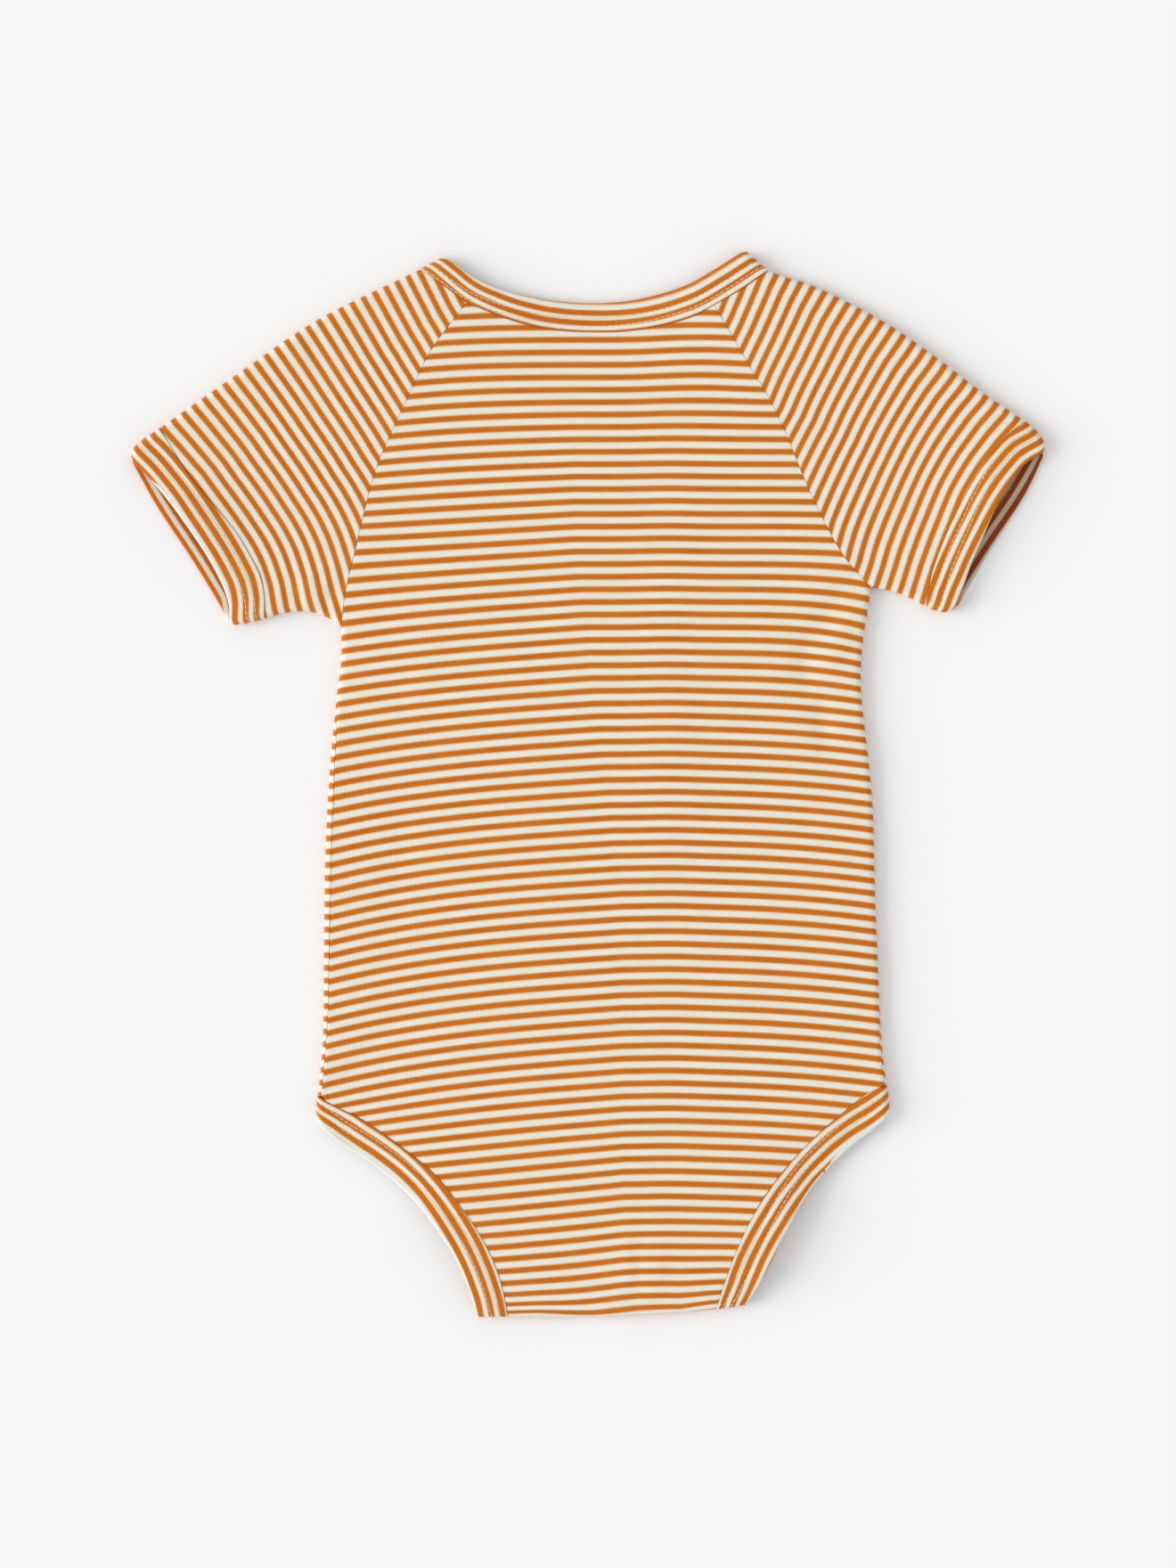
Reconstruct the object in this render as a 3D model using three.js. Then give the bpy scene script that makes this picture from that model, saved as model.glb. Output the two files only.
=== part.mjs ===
// A baby onesie laid out flat on its front, so that its back shows: short raglan sleeves, bound neck,
// cuffs and leg openings, and a crotch tab that turns under and snaps onto the hem of the front.
// Millimetres. +Y runs towards the neck, +X towards the wearer's right side, +Z up from the surface at z = 0.
import * as THREE from 'three';

// Thicknesses and gaps
const CLOTH = 1.1; // wall of one layer of rib jersey
const BINDING = 1.6; // wall of a folded binding with its seam inside
const BINDING_PROUD = 0.4; // step from a panel up to its binding, on the upper layer
const SEAM_GAP = 0.3; // between two sewn pieces
const FOLD_RADIUS = 2.3; // outer radius where the upper layer turns into the lower one
const QUARTER_TURN = (Math.PI / 2) * FOLD_RADIUS; // cloth from the fold's middle to the flat
const SWELL_EDGE = 14; // how far in from a fold the cloth has its full swell
const LEG_DROOP = 0.9; // how far the free edge of a leg opening hangs down
const LEG_DROOP_REACH = 10;

// Crotch: the tab turns under, and the hem of the front lies below it
const TAB_LENGTH = 32; // from the fold to the tab's end
const HEM_FROM_FOLD = 12; // from the fold to the hem of the front
const SNAP_FROM_FOLD = 22;
const SNAP_SPACING = 24;
const SNAP_COUNT = 3;
const HEM_LIFT = 0.9; // hem of the front over the surface, on its snap caps
const TAB_LIFT = 4.3; // outer face of the tab over the surface, on the snaps
const TAB_END_LIFT = 3.2;
const CROTCH_SWELL = 3; // what the back rises over the snaps
const CROTCH_RAMP = 14;
const CROTCH_SPREAD = 34; // from the fold to where the back starts to fall again
const CROTCH_FALL = 30;

// Snaps, pressed through the cloth: a cap under the hem, a socket, a stud and a cap inside the tab
const CAP_RADIUS = 4.75;
const CAP_THICK = 0.6;
const RIM = 0.2; // rounding of a metal rim
const SOCKET_RADIUS = 4.5;
const SOCKET_HOLE = 2.25;
const SOCKET_THICK = 0.9;
const STUD_THICK = 0.5;
const KNOB_RADIUS = 1.9;
const KNOB_LENGTH = 1.1;
const TAB_CAP_THICK = 0.5;

// Colours of the finished pieces
const JERSEY = { color: 0xdba56c, roughness: 0.92, metalness: 0 };
const SNAP_METAL = { color: 0xe9e2d2, roughness: 0.38, metalness: 0.6 };

// Points of the seams and edges of one side of the garment, seen from above. The columns are x and y.
// A fold is where the upper layer turns into the lower one. An edge is the free edge of a binding.
const LEFT = {
  shoulderFold: [[-54.2, 196.8], [-62.8, 192.3], [-101.8, 173], [-131.8, 152.7], [-163.2, 130.7], [-169.2, 126.2],
    [-171, 121.8]],
  underarmFold: [[-133.3, 59.3], [-126.5, 60.2], [-120.8, 61.6], [-113.2, 63.7], [-104.8, 64.3], [-97.8, 62.3],
    [-92.2, 58.7]],
  sideFold: [[-92.2, 58.7], [-92.2, 46.3], [-93.8, 33], [-95.8, 13], [-97.3, -8], [-98.3, -33], [-98.7, -70],
    [-99, -95], [-100.2, -110], [-101.3, -121], [-100.9, -127.3]],
  backNeck: [[-62.8, 192.3], [-56.8, 188.3], [-45.2, 179.7]],
  backRaglan: [[-45.2, 179.7], [-58.2, 162.5], [-65.7, 147.5], [-72.3, 133.5], [-78.8, 118.5], [-83.5, 101.7],
    [-87.7, 83.7], [-90.3, 73], [-92.2, 58.7]],
  backLeg: [[-101, -116.9], [-95.7, -120.3], [-84.8, -125.5], [-66, -138.8], [-55.9, -147.5], [-48.7, -156.5],
    [-41.5, -166.7], [-35.7, -177.5], [-32.1, -187.6], [-29.7, -199.6]],
  backLegEdge: [[-100.9, -127.3], [-92, -134.9], [-82.7, -140.7], [-66, -154.3], [-53, -171], [-47.2, -181.1],
    [-43.6, -190.5], [-40.8, -199.7]],
  backCuff: [[-160, 133], [-151, 118.2], [-144.8, 110], [-135.7, 99.3], [-130.6, 92.7], [-125.5, 84], [-122.4, 77.9],
    [-120.8, 69.5], [-120.8, 61.6]],
  backCuffEdge: [[-171, 121.8], [-159.8, 110], [-148.8, 95.3], [-139.8, 81.3], [-134.2, 68.7], [-133.3, 59.3]],
  frontNeck: [[-62.8, 192.3], [-59, 178], [-51.5, 163.5]],
  frontRaglan: [[-51.5, 163.5], [-62, 143], [-71, 121], [-79, 99], [-86, 79], [-92.2, 58.7]],
  frontLeg: [[-101, -116.9], [-92, -118.5], [-78, -125], [-62, -136], [-48, -150], [-39, -164], [-33, -177],
    [-30.5, -187.6]],
  frontLegEdge: [[-100.9, -127.3], [-90, -131.5], [-78, -138.5], [-66, -149], [-57, -160], [-49, -172],
    [-42, -187.6]],
  frontCuff: [[-160, 133], [-150.8, 112], [-138, 91], [-127, 72], [-120.8, 61.6]],
  frontCuffEdge: [[-171, 121.8], [-161.2, 104.3], [-147.8, 84], [-138.8, 69.3], [-133.3, 59.3]],
  tabSeam: { fold: -29.7, end: -30.5 }, // x at the crotch fold and at the tab's end
  tabEdge: { fold: -40.8, end: -41.8 },
};
const RIGHT = {
  shoulderFold: [[59.3, 199.3], [67.8, 192], [84.2, 186.3], [110.5, 173], [130.2, 159.7], [147.8, 146.3],
    [165.2, 134.3], [170.2, 129], [171.2, 124.3]],
  underarmFold: [[137.4, 65], [132.5, 64.2], [126.8, 66.2], [119.8, 69.7], [112.2, 72.3], [106.2, 73.2]],
  sideFold: [[106.2, 73.2], [104.8, 64], [103.2, 54], [102.3, 38], [103.5, 23], [105.5, 6.3], [106.9, -12],
    [107.6, -40], [108.7, -67], [110.1, -97], [111.8, -112], [112.8, -121], [112.4, -124.6]],
  backNeck: [[67.8, 192], [58.8, 185.5], [47.5, 179]],
  backRaglan: [[47.5, 179], [59.4, 158.4], [68.2, 143.7], [75, 129.1], [80.9, 114.4], [87.7, 99.7], [94.6, 87],
    [100.5, 79.2], [106.2, 73.2]],
  backLeg: [[111.9, -113.1], [104.7, -116.1], [98.2, -121.1], [84.5, -133], [72.2, -146.3], [63.5, -158.7],
    [55.5, -175.3], [52, -184.7], [48.2, -196.9]],
  backLegEdge: [[112.4, -124.6], [106.2, -129.8], [98.2, -135.9], [83.8, -150.8], [72.9, -169.5], [65, -185.4],
    [59.2, -195.2]],
  backCuff: [[163.4, 135.5], [154.5, 127.4], [145.3, 114.8], [136.6, 98.5], [129.5, 80.7], [127.5, 72.3],
    [126.8, 66.2]],
  backCuffEdge: [[171.2, 124.3], [163.8, 120], [157.2, 111.8], [151.6, 101.6], [147.5, 92.2], [143.2, 82.3],
    [139.9, 72.7], [137.4, 65]],
  frontNeck: [[67.8, 192], [64.5, 177.5], [57.5, 163]],
  frontRaglan: [[57.5, 163], [68, 143], [77, 122], [87, 100], [97, 83], [106.2, 73.2]],
  frontLeg: [[111.9, -113.1], [103, -114.5], [89, -122], [76, -134], [65, -148], [57.5, -162], [52, -174],
    [48.8, -185.2]],
  frontLegEdge: [[112.4, -124.6], [102, -128.5], [90.5, -137.5], [80.5, -150], [73, -163], [66.5, -175],
    [60.5, -184.2]],
  frontCuff: [[163.4, 135.5], [152.8, 114], [143, 96], [132, 76], [126.8, 66.2]],
  frontCuffEdge: [[171.2, 124.3], [163.5, 108.3], [150.7, 87.7], [143.8, 76], [137.4, 65]],
  tabSeam: { fold: 48.2, end: 47.6 },
  tabEdge: { fold: 59.2, end: 58.8 },
};

// Lines that cross from one side to the other, left end first
const CROTCH_FOLD = [[-40.8, -199.7], [-29.5, -199.6], [-10, -199.8], [15, -199.2], [32, -198.3], [48.2, -196.9],
  [59.2, -195.2]];
const BACK_NECK = [[-45.2, 179.7], [-25.5, 172.3], [-10.8, 169.5], [2.7, 168.8], [16.1, 169.3], [38.4, 174.2],
  [47.5, 179]];
const BACK_NECK_EDGE = [[-54.2, 196.8], [-39.2, 187], [-25, 182.4], [-4.5, 179.5], [16.1, 180.3], [36.5, 185.8],
  [47.3, 191.7], [59.3, 199.3]];
const FRONT_NECK = [[-51.5, 163.5], [-36, 150], [-16, 143], [3, 141.3], [22, 143], [42, 150], [57.5, 163]];
const FRONT_NECK_EDGE = [[-54.2, 196.8], [-49, 180], [-41.5, 168], [-28, 158], [-12, 153], [3, 151.8], [18, 153],
  [34, 158.3], [47.5, 168.5], [55, 181], [59.3, 199.3]];

// How far in from the side fold the side seam shows on the upper layer, down the garment
const SIDE_SEAM = [
  { y: 100, left: 0, right: 0 },
  { y: 33, left: 0, right: 0 },
  { y: 13, left: 1.6, right: 0 },
  { y: -8, left: 2.3, right: 0 },
  { y: -35, left: 2.4, right: 0 },
  { y: -80, left: 1.9, right: 0 },
  { y: -98, left: 1.3, right: 0.5 },
  { y: -130, left: 1.2, right: 0.9 },
];

// Soft swells and creases of the upper layer. Each is a long hump with its middle at x, y, turned by
// angle degrees from +X, and falls away over its reach along and across.
const SWELLS = [
  { what: 'torso', x: 3, y: -20, angle: 90, along: 130, across: 70, height: 1.1 },
  { what: 'neck falls to the surface', x: 3, y: 183, angle: 0, along: 36, across: 20, height: -2.5 },
  { what: 'left cuff mouth', x: -149, y: 97, angle: -57, along: 22, across: 18, height: 1.7 },
  { what: 'right cuff mouth', x: 152, y: 101, angle: 60, along: 22, across: 18, height: 1.9 },
  { what: 'right underarm crease', x: 90, y: 62, angle: 60, along: 20, across: 4.5, height: -0.8 },
  { what: 'right side crease', x: 86, y: 31, angle: -73, along: 24, across: 5.5, height: -0.6 },
  { what: 'left shoulder crease', x: -102, y: 163, angle: -62, along: 10, across: 3.5, height: -0.6 },
  { what: 'left underarm tuck', x: -93, y: 72, angle: 72, along: 10, across: 3, height: -0.5 },
  { what: 'crotch ridge', x: 17, y: -184, angle: 84, along: 16, across: 6, height: 0.5 },
  { what: 'back ridge', x: 28, y: 20, angle: 88, along: 60, across: 10, height: 0.4 },
  { what: 'left hip hollow', x: -78, y: -100, angle: 40, along: 26, across: 9, height: -0.4 },
];

// Divisions of the meshes
const SAMPLE = 1.2; // step along a line's own samples
const EDGE_REACH = 3.6; // width of the close columns beside a seam or a fold
const EDGE_COLUMNS = 3;
const WRAP_COLUMNS = 7; // close columns of the front, where it wraps round the left side fold
const FOLD_STEPS = [0, 0.35, 1.1, 2.3]; // distances in plan from a fold
const BODY_COLUMNS = 10;
const RAGLAN_ROWS = 12;
const SIDE_ROWS = 9;
const LEG_ROWS = 11;
const FIRST_LEG_ROW = 3; // along the leg seam from the side fold
const TAB_ROWS = [5, 8, 11, 14, 20, 27, TAB_LENGTH]; // distances from the crotch fold
const SLEEVE_ROWS = 7;
const SLEEVE_END = 150; // length of a sleeve's end, along the neck and the raglan seam
const NECK_PART = 0.15; // share of a sleeve's end that meets the neck
const NECK_MIDDLE = 0.6; // one more station along that part
const BAND_COLUMNS = 3;
const CUFF_STATIONS = 11;
const NOSE = 0.5; // rounding of a binding's free edge
const LATHE_SEGMENTS = 20;

const smooth = (t) => {
  const c = Math.min(1, Math.max(0, t));
  return c * c * (3 - 2 * c);
};

// A smooth line through points, kept as close samples. side is +1 where the cloth lies to its left.
class Line {
  constructor(points, side = 1) {
    const curve = new THREE.CatmullRomCurve3(points.map(([x, y]) => new THREE.Vector3(x, y, 0)), false, 'centripetal');
    curve.arcLengthDivisions = 600;
    this.side = side;
    this.samples = curve.getSpacedPoints(Math.max(4, Math.ceil(curve.getLength() / SAMPLE)));
    this.starts = [0];
    this.samples.slice(1).forEach((p, i) => this.starts.push(this.starts[i] + p.distanceTo(this.samples[i])));
    this.length = this.starts.at(-1);
  }

  // The point at a length along the line, and the unit vector into the cloth. inset moves it that way.
  at(length, inset = 0) {
    const wanted = Math.min(this.length, Math.max(0, length));
    let i = this.starts.findIndex((s) => s >= wanted);
    i = Math.max(1, i);
    const a = this.samples[i - 1];
    const b = this.samples[i];
    const part = (wanted - this.starts[i - 1]) / (this.starts[i] - this.starts[i - 1]);
    const along = b.clone().sub(a).normalize();
    const inward = new THREE.Vector3(-along.y, along.x, 0).multiplyScalar(this.side);
    return { point: a.clone().lerp(b, part).addScaledVector(inward, inset), inward };
  }

  // The nearest point of the line: its distance, the direction from it, and its length along the line.
  nearest(x, y) {
    const p = new THREE.Vector3(x, y, 0);
    let best = { distance: Infinity };
    for (let i = 1; i < this.samples.length; i += 1) {
      const a = this.samples[i - 1];
      const step = this.samples[i].clone().sub(a);
      const part = Math.min(1, Math.max(0, p.clone().sub(a).dot(step) / step.lengthSq()));
      const from = a.clone().addScaledVector(step, part);
      const distance = from.distanceTo(p);
      if (distance < best.distance) best = { distance, from, i, length: this.starts[i - 1] + part * step.length() };
    }
    const direction = best.distance > 0.02
      ? p.sub(best.from).normalize()
      : this.at(best.length).inward;
    return { distance: best.distance, direction, length: best.length };
  }
}

// Every line of one side, with the foot of each seam on its fold
function sideLines(table, side) {
  const lines = {};
  for (const [name, points] of Object.entries(table)) {
    if (Array.isArray(points)) lines[name] = new Line(points, side);
  }
  const { shoulderFold, underarmFold, sideFold } = lines;
  const foot = (fold, [x, y]) => fold.nearest(x, y).length;
  lines.neckFoot = foot(shoulderFold, table.backNeck[0]);
  lines.cuffTopFoot = foot(shoulderFold, table.backCuff[0]);
  lines.cuffUnderFoot = foot(underarmFold, table.backCuff.at(-1));
  lines.hipFoot = foot(sideFold, table.backLeg[0]);
  lines.tabSeam = table.tabSeam;
  lines.tabEdge = table.tabEdge;
  lines.side = side;
  return lines;
}

const left = sideLines(LEFT, 1);
const right = sideLines(RIGHT, -1);
const crotchFold = new Line(CROTCH_FOLD, 1);
const backNeck = new Line(BACK_NECK, -1);
const backNeckEdge = new Line(BACK_NECK_EDGE, -1);
const frontNeck = new Line(FRONT_NECK, -1);
const frontNeckEdge = new Line(FRONT_NECK_EDGE, -1);
const PANELS = {
  upper: {
    neck: backNeck,
    neckEdge: backNeckEdge,
    sleeveNecks: [left.backNeck, right.backNeck],
    raglans: [left.backRaglan, right.backRaglan],
    legs: [left.backLeg, right.backLeg],
    columns: [EDGE_COLUMNS, EDGE_COLUMNS],
  },
  lower: {
    neck: frontNeck,
    neckEdge: frontNeckEdge,
    sleeveNecks: [left.frontNeck, right.frontNeck],
    raglans: [left.frontRaglan, right.frontRaglan],
    legs: [left.frontLeg, right.frontLeg],
    columns: [WRAP_COLUMNS, EDGE_COLUMNS],
  },
};
const FOLDS = [left, right].flatMap((s) => [s.shoulderFold, s.underarmFold, s.sideFold]).concat(crotchFold);

function nearestFold(x, y) {
  return FOLDS.map((fold) => fold.nearest(x, y)).reduce((a, b) => (b.distance < a.distance ? b : a));
}

const fromCrotch = (x, y) => crotchFold.nearest(x, y).distance;

// What the upper layer stands above its height at the folds
function upperRise(x, y) {
  const edge = smooth(nearestFold(x, y).distance / SWELL_EDGE);
  let rise = 0;
  for (const s of SWELLS) {
    const turn = THREE.MathUtils.degToRad(s.angle);
    const along = ((x - s.x) * Math.cos(turn) + (y - s.y) * Math.sin(turn)) / s.along;
    const across = ((y - s.y) * Math.cos(turn) - (x - s.x) * Math.sin(turn)) / s.across;
    rise += s.height * Math.exp(-along * along - across * across);
  }
  const up = fromCrotch(x, y);
  const overSnaps = smooth(up / CROTCH_RAMP) * (1 - smooth((up - CROTCH_SPREAD) / CROTCH_FALL));
  const fromLeg = Math.min(left.backLegEdge.nearest(x, y).distance, right.backLegEdge.nearest(x, y).distance);
  const droop = LEG_DROOP * Math.exp(-((fromLeg / LEG_DROOP_REACH) ** 2)) * (1 - overSnaps);
  return edge * (rise - droop) + CROTCH_SWELL * overSnaps;
}

// What the lower layer stands above the surface: only its hem, on the snap caps
const lowerRise = (x, y) => HEM_LIFT * (1 - smooth((fromCrotch(x, y) - 30) / 10));

// The outer face of the tab, which ramps up onto the snaps and comes down at its end
function tabRise(x, y) {
  const up = fromCrotch(x, y);
  const ramp = TAB_LIFT * smooth((up - FOLD_RADIUS) / (HEM_FROM_FOLD - 1));
  return ramp - (TAB_LIFT - TAB_END_LIFT) * smooth((up - 27) / (TAB_LENGTH - 27));
}

function slope(height, x, y) {
  const h = 0.05;
  return new THREE.Vector3(
    (height(x + h, y) - height(x - h, y)) / (2 * h),
    (height(x, y + h) - height(x, y - h)) / (2 * h),
    0,
  );
}

// The outer face of a layer over the plan point x, y, and its outward normal
function onLayer(layer, x, y) {
  if (layer === 'tab') {
    const tilt = slope(tabRise, x, y);
    return { point: new THREE.Vector3(x, y, tabRise(x, y)), normal: tilt.setZ(-1).normalize() };
  }
  const near = nearestFold(x, y);
  const depth = Math.min(near.distance, FOLD_RADIUS);
  const flat = (FOLD_RADIUS - depth) / FOLD_RADIUS;
  const steep = Math.sqrt(1 - flat * flat);
  const facing = layer === 'upper' ? 1 : -1;
  const rise = layer === 'upper' ? upperRise : lowerRise;
  const z = FOLD_RADIUS + facing * FOLD_RADIUS * steep + rise(x, y);
  const normal = near.direction.clone().multiplyScalar(-flat);
  normal.addScaledVector(slope(rise, x, y), -facing * steep).setZ(facing * steep);
  return { point: new THREE.Vector3(x, y, z), normal: normal.normalize() };
}

// A point round a fold: turn is the cloth's length from the fold's middle, above it where positive
function roundFold(fold, length, turn, under = 'lower') {
  const { point, inward } = fold.at(length);
  if (Math.abs(turn) > QUARTER_TURN) {
    const { x, y } = point.addScaledVector(inward, FOLD_RADIUS + Math.abs(turn) - QUARTER_TURN);
    return onLayer(turn > 0 ? 'upper' : under, x, y);
  }
  const angle = turn / FOLD_RADIUS;
  const normal = inward.clone().multiplyScalar(-Math.cos(angle)).setZ(Math.sin(angle));
  point.addScaledVector(inward, FOLD_RADIUS).setZ(FOLD_RADIUS).addScaledVector(normal, FOLD_RADIUS);
  return { point, normal };
}

// A closed solid through cross-sections, each with as many outer points as inner ones and, where the
// free edge is rounded, one nose point between them
function loft(sections, closed) {
  const loops = sections.map(({ outer, inner, nose }) => [...outer, ...(nose ? [nose] : []), ...[...inner].reverse()]);
  const size = loops[0].length;
  const positions = loops.flat().flatMap((p) => [p.x, p.y, p.z]);
  const faces = [];
  const quad = (a, b, c, d) => faces.push(a, b, c, a, c, d);
  const last = closed ? loops.length : loops.length - 1;
  for (let i = 0; i < last; i += 1) {
    const here = i * size;
    const next = ((i + 1) % loops.length) * size;
    for (let j = 0; j < size; j += 1) {
      const k = (j + 1) % size;
      quad(here + j, here + k, next + k, next + j);
    }
  }
  if (!closed) {
    const count = sections[0].outer.length;
    const end = (loops.length - 1) * size;
    for (let j = 0; j < count - 1; j += 1) {
      quad(j, size - 1 - j, size - 2 - j, j + 1);
      quad(end + j, end + j + 1, end + size - 2 - j, end + size - 1 - j);
    }
    if (size % 2) {
      faces.push(count - 1, count + 1, count);
      faces.push(end + count - 1, end + count, end + count + 1);
    }
  }
  const geometry = new THREE.BufferGeometry();
  geometry.setAttribute('position', new THREE.Float32BufferAttribute(positions, 3));
  geometry.setIndex(faces);
  if (volume(geometry) < 0) geometry.setIndex(faces.reverse());
  return geometry;
}

function volume(geometry) {
  const position = geometry.getAttribute('position');
  const index = geometry.getIndex().array;
  const [a, b, c] = [new THREE.Vector3(), new THREE.Vector3(), new THREE.Vector3()];
  let sum = 0;
  for (let i = 0; i < index.length; i += 3) {
    a.fromBufferAttribute(position, index[i]);
    b.fromBufferAttribute(position, index[i + 1]);
    c.fromBufferAttribute(position, index[i + 2]);
    sum += a.dot(b.cross(c)) / 6;
  }
  return sum;
}

// A cloth wall from rows of surface points: its inner face lies one cloth behind its outer one
function wall(rows, closed = false) {
  return loft(rows.map((row) => ({
    outer: row.map(({ point }) => point),
    inner: row.map(({ point, normal }) => point.clone().addScaledVector(normal, -CLOTH)),
  })), closed);
}

// A binding from rows of surface points, seam first and free edge last. It stands proud on the upper
// layer and flush on the lower one, and its free edge is a rounded fold.
function binding(rows, closed = false) {
  return loft(rows.map((row) => {
    const outer = row.map(({ point, normal }) => (
      point.clone().addScaledVector(normal, (BINDING_PROUD * (normal.z + 1)) / 2)));
    const inner = row.map(({ normal }, i) => outer[i].clone().addScaledVector(normal, -BINDING));
    const nose = outer.at(-1).clone().add(inner.at(-1)).multiplyScalar(0.5);
    const away = outer.at(-1).clone().sub(outer.at(-2)).normalize();
    return { outer, inner, nose: nose.addScaledVector(away, NOSE) };
  }), closed);
}

const gap = SEAM_GAP / 2; // from a seam's line to the piece on either side
const share = (count) => Array.from({ length: count + 1 }, (_, i) => i / count);

// Shares of a row's width where its columns lie: close ones at both ends, even ones between them
function columnPlaces(width, counts) {
  const [before, after] = counts.map((count) => share(count).map((t) => (t * EDGE_REACH) / width));
  const reach = EDGE_REACH / width;
  const middle = share(BODY_COLUMNS).slice(1, -1).map((t) => reach + (1 - 2 * reach) * t);
  return [...before, ...middle, ...after.map((t) => 1 - t).reverse()];
}

function neckPlaces({ raglans, columns }) {
  const [from, to] = raglans.map((line) => line.at(0, gap).point);
  return columnPlaces(from.distanceTo(to), columns);
}

// Lengths along a leg seam where the rows of the panel end and the stations of the binding lie
function legLengths(layer, leg) {
  const end = layer === 'upper' ? leg.length - FOLD_RADIUS : leg.length;
  return share(LEG_ROWS).map((t) => THREE.MathUtils.lerp(FIRST_LEG_ROW, end, t));
}

// The cloth from the fold's middle to the side seam, where the seam lies in from the fold
function seamTurn(lines, length) {
  const { y } = lines.sideFold.at(length).point;
  const below = Math.max(1, SIDE_SEAM.findIndex((row) => row.y <= y));
  const [a, b] = [SIDE_SEAM[below - 1], SIDE_SEAM[below]];
  const column = lines.side > 0 ? 'left' : 'right';
  const inset = THREE.MathUtils.lerp(a[column], b[column], smooth((a.y - y) / (a.y - b.y)));
  if (inset > FOLD_RADIUS) return QUARTER_TURN + inset - FOLD_RADIUS;
  return FOLD_RADIUS * Math.acos(1 - inset / FOLD_RADIUS);
}

// The columns of a side row that lie next to the side seam, seam first
function sideColumns(lines, layer, length, count) {
  const seam = seamTurn(lines, length);
  const from = layer === 'upper' ? seam + gap : seam - gap;
  const to = layer === 'upper' ? from + QUARTER_TURN : -QUARTER_TURN;
  return share(count).map((t) => roundFold(lines.sideFold, length, from + (to - from) * t));
}

function joinColumns(layer, first, last) {
  const from = first.at(-1).point.clone().setZ(0);
  const to = last.at(-1).point.clone().setZ(0);
  const middle = share(BODY_COLUMNS).slice(1, -1).map((t) => from.clone().lerp(to, t));
  return [...first, ...middle.map(({ x, y }) => onLayer(layer, x, y)), ...[...last].reverse()];
}

// Shares of a raglan seam where the rows of a body panel and the stations of a sleeve end
const RAGLAN_PLACES = [
  ...share(RAGLAN_ROWS).slice(0, -1),
  ...FOLD_STEPS.slice(1).map((d) => 1 - d / (SLEEVE_END * (1 - NECK_PART))).reverse(),
];
const alongRaglan = (line, t, inset) => line.at(THREE.MathUtils.lerp(gap, line.length, t), inset).point;

// Rows of a body panel from the neck to the armpits, the bend of the neck dying away down the rows
function raglanRows(layer) {
  const { neck, raglans, columns } = PANELS[layer];
  const across = (t) => neck.at(0, gap).point.lerp(neck.at(neck.length, gap).point, t);
  const widest = neck.at(0).point.distanceTo(neck.at(neck.length).point);
  return RAGLAN_PLACES.map((down) => {
    const [from, to] = raglans.map((line) => alongRaglan(line, down, gap));
    const width = from.distanceTo(to);
    const fade = ((1 - down) ** 3 * width) / Math.max(width, widest);
    return columnPlaces(width, columns).map((t) => {
      const { x, y } = from.clone().lerp(to, t)
        .addScaledVector(neck.at(t * neck.length, gap).point.sub(across(t)), fade);
      return onLayer(layer, x, y);
    });
  });
}

function bodyRows(layer) {
  const { legs, columns } = PANELS[layer];
  const sides = share(SIDE_ROWS).map((t) => {
    const [first, last] = [left, right].map((lines, i) => (
      sideColumns(lines, layer, THREE.MathUtils.lerp(2 * gap, lines.hipFoot - 2 * gap, t), columns[i])));
    return joinColumns(layer, first, last);
  });
  const [leftLengths, rightLengths] = legs.map((leg) => legLengths(layer, leg));
  const seat = leftLengths.map((length, i) => {
    const from = legs[0].at(length, gap).point;
    const to = legs[1].at(rightLengths[i], gap).point;
    const places = columnPlaces(from.distanceTo(to), columns);
    return places.map((t) => from.clone().lerp(to, t)).map(({ x, y }) => onLayer(layer, x, y));
  });
  return [...raglanRows(layer), ...sides, ...seat];
}

// Rows of the crotch that turn round the fold and run on along the tab, between two places across it
function tabRows(placesAtFold, placesAtEnd) {
  const feet = placesAtFold.map((x) => crotchFold.nearest(x, CROTCH_FOLD[0][1]).length);
  const turns = [0.66, 0.33, 0, -0.33, -0.66, -1].map((t) => t * QUARTER_TURN);
  const round = turns.map((turn) => feet.map((foot) => roundFold(crotchFold, foot, turn, 'tab')));
  const flat = TAB_ROWS.map((distance) => feet.map((foot, i) => {
    const { point, inward } = crotchFold.at(foot);
    const x = THREE.MathUtils.lerp(placesAtFold[i], placesAtEnd[i], distance / TAB_LENGTH);
    return onLayer('tab', x + inward.x * distance, point.y + inward.y * distance);
  }));
  return [...round, ...flat];
}

function backPanel() {
  const rows = bodyRows('upper');
  const places = rows.at(-1).map(({ point }) => point.x);
  const [from, to] = [places[0], places.at(-1)];
  const across = (seams, key) => places.map((x) => (
    THREE.MathUtils.lerp(seams[0].tabSeam[key] + gap, seams[1].tabSeam[key] - gap, (x - from) / (to - from))));
  return wall([...rows, ...tabRows(across([left, right], 'fold'), across([left, right], 'end'))]);
}

function frontPanel() {
  return wall(bodyRows('lower'));
}

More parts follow.
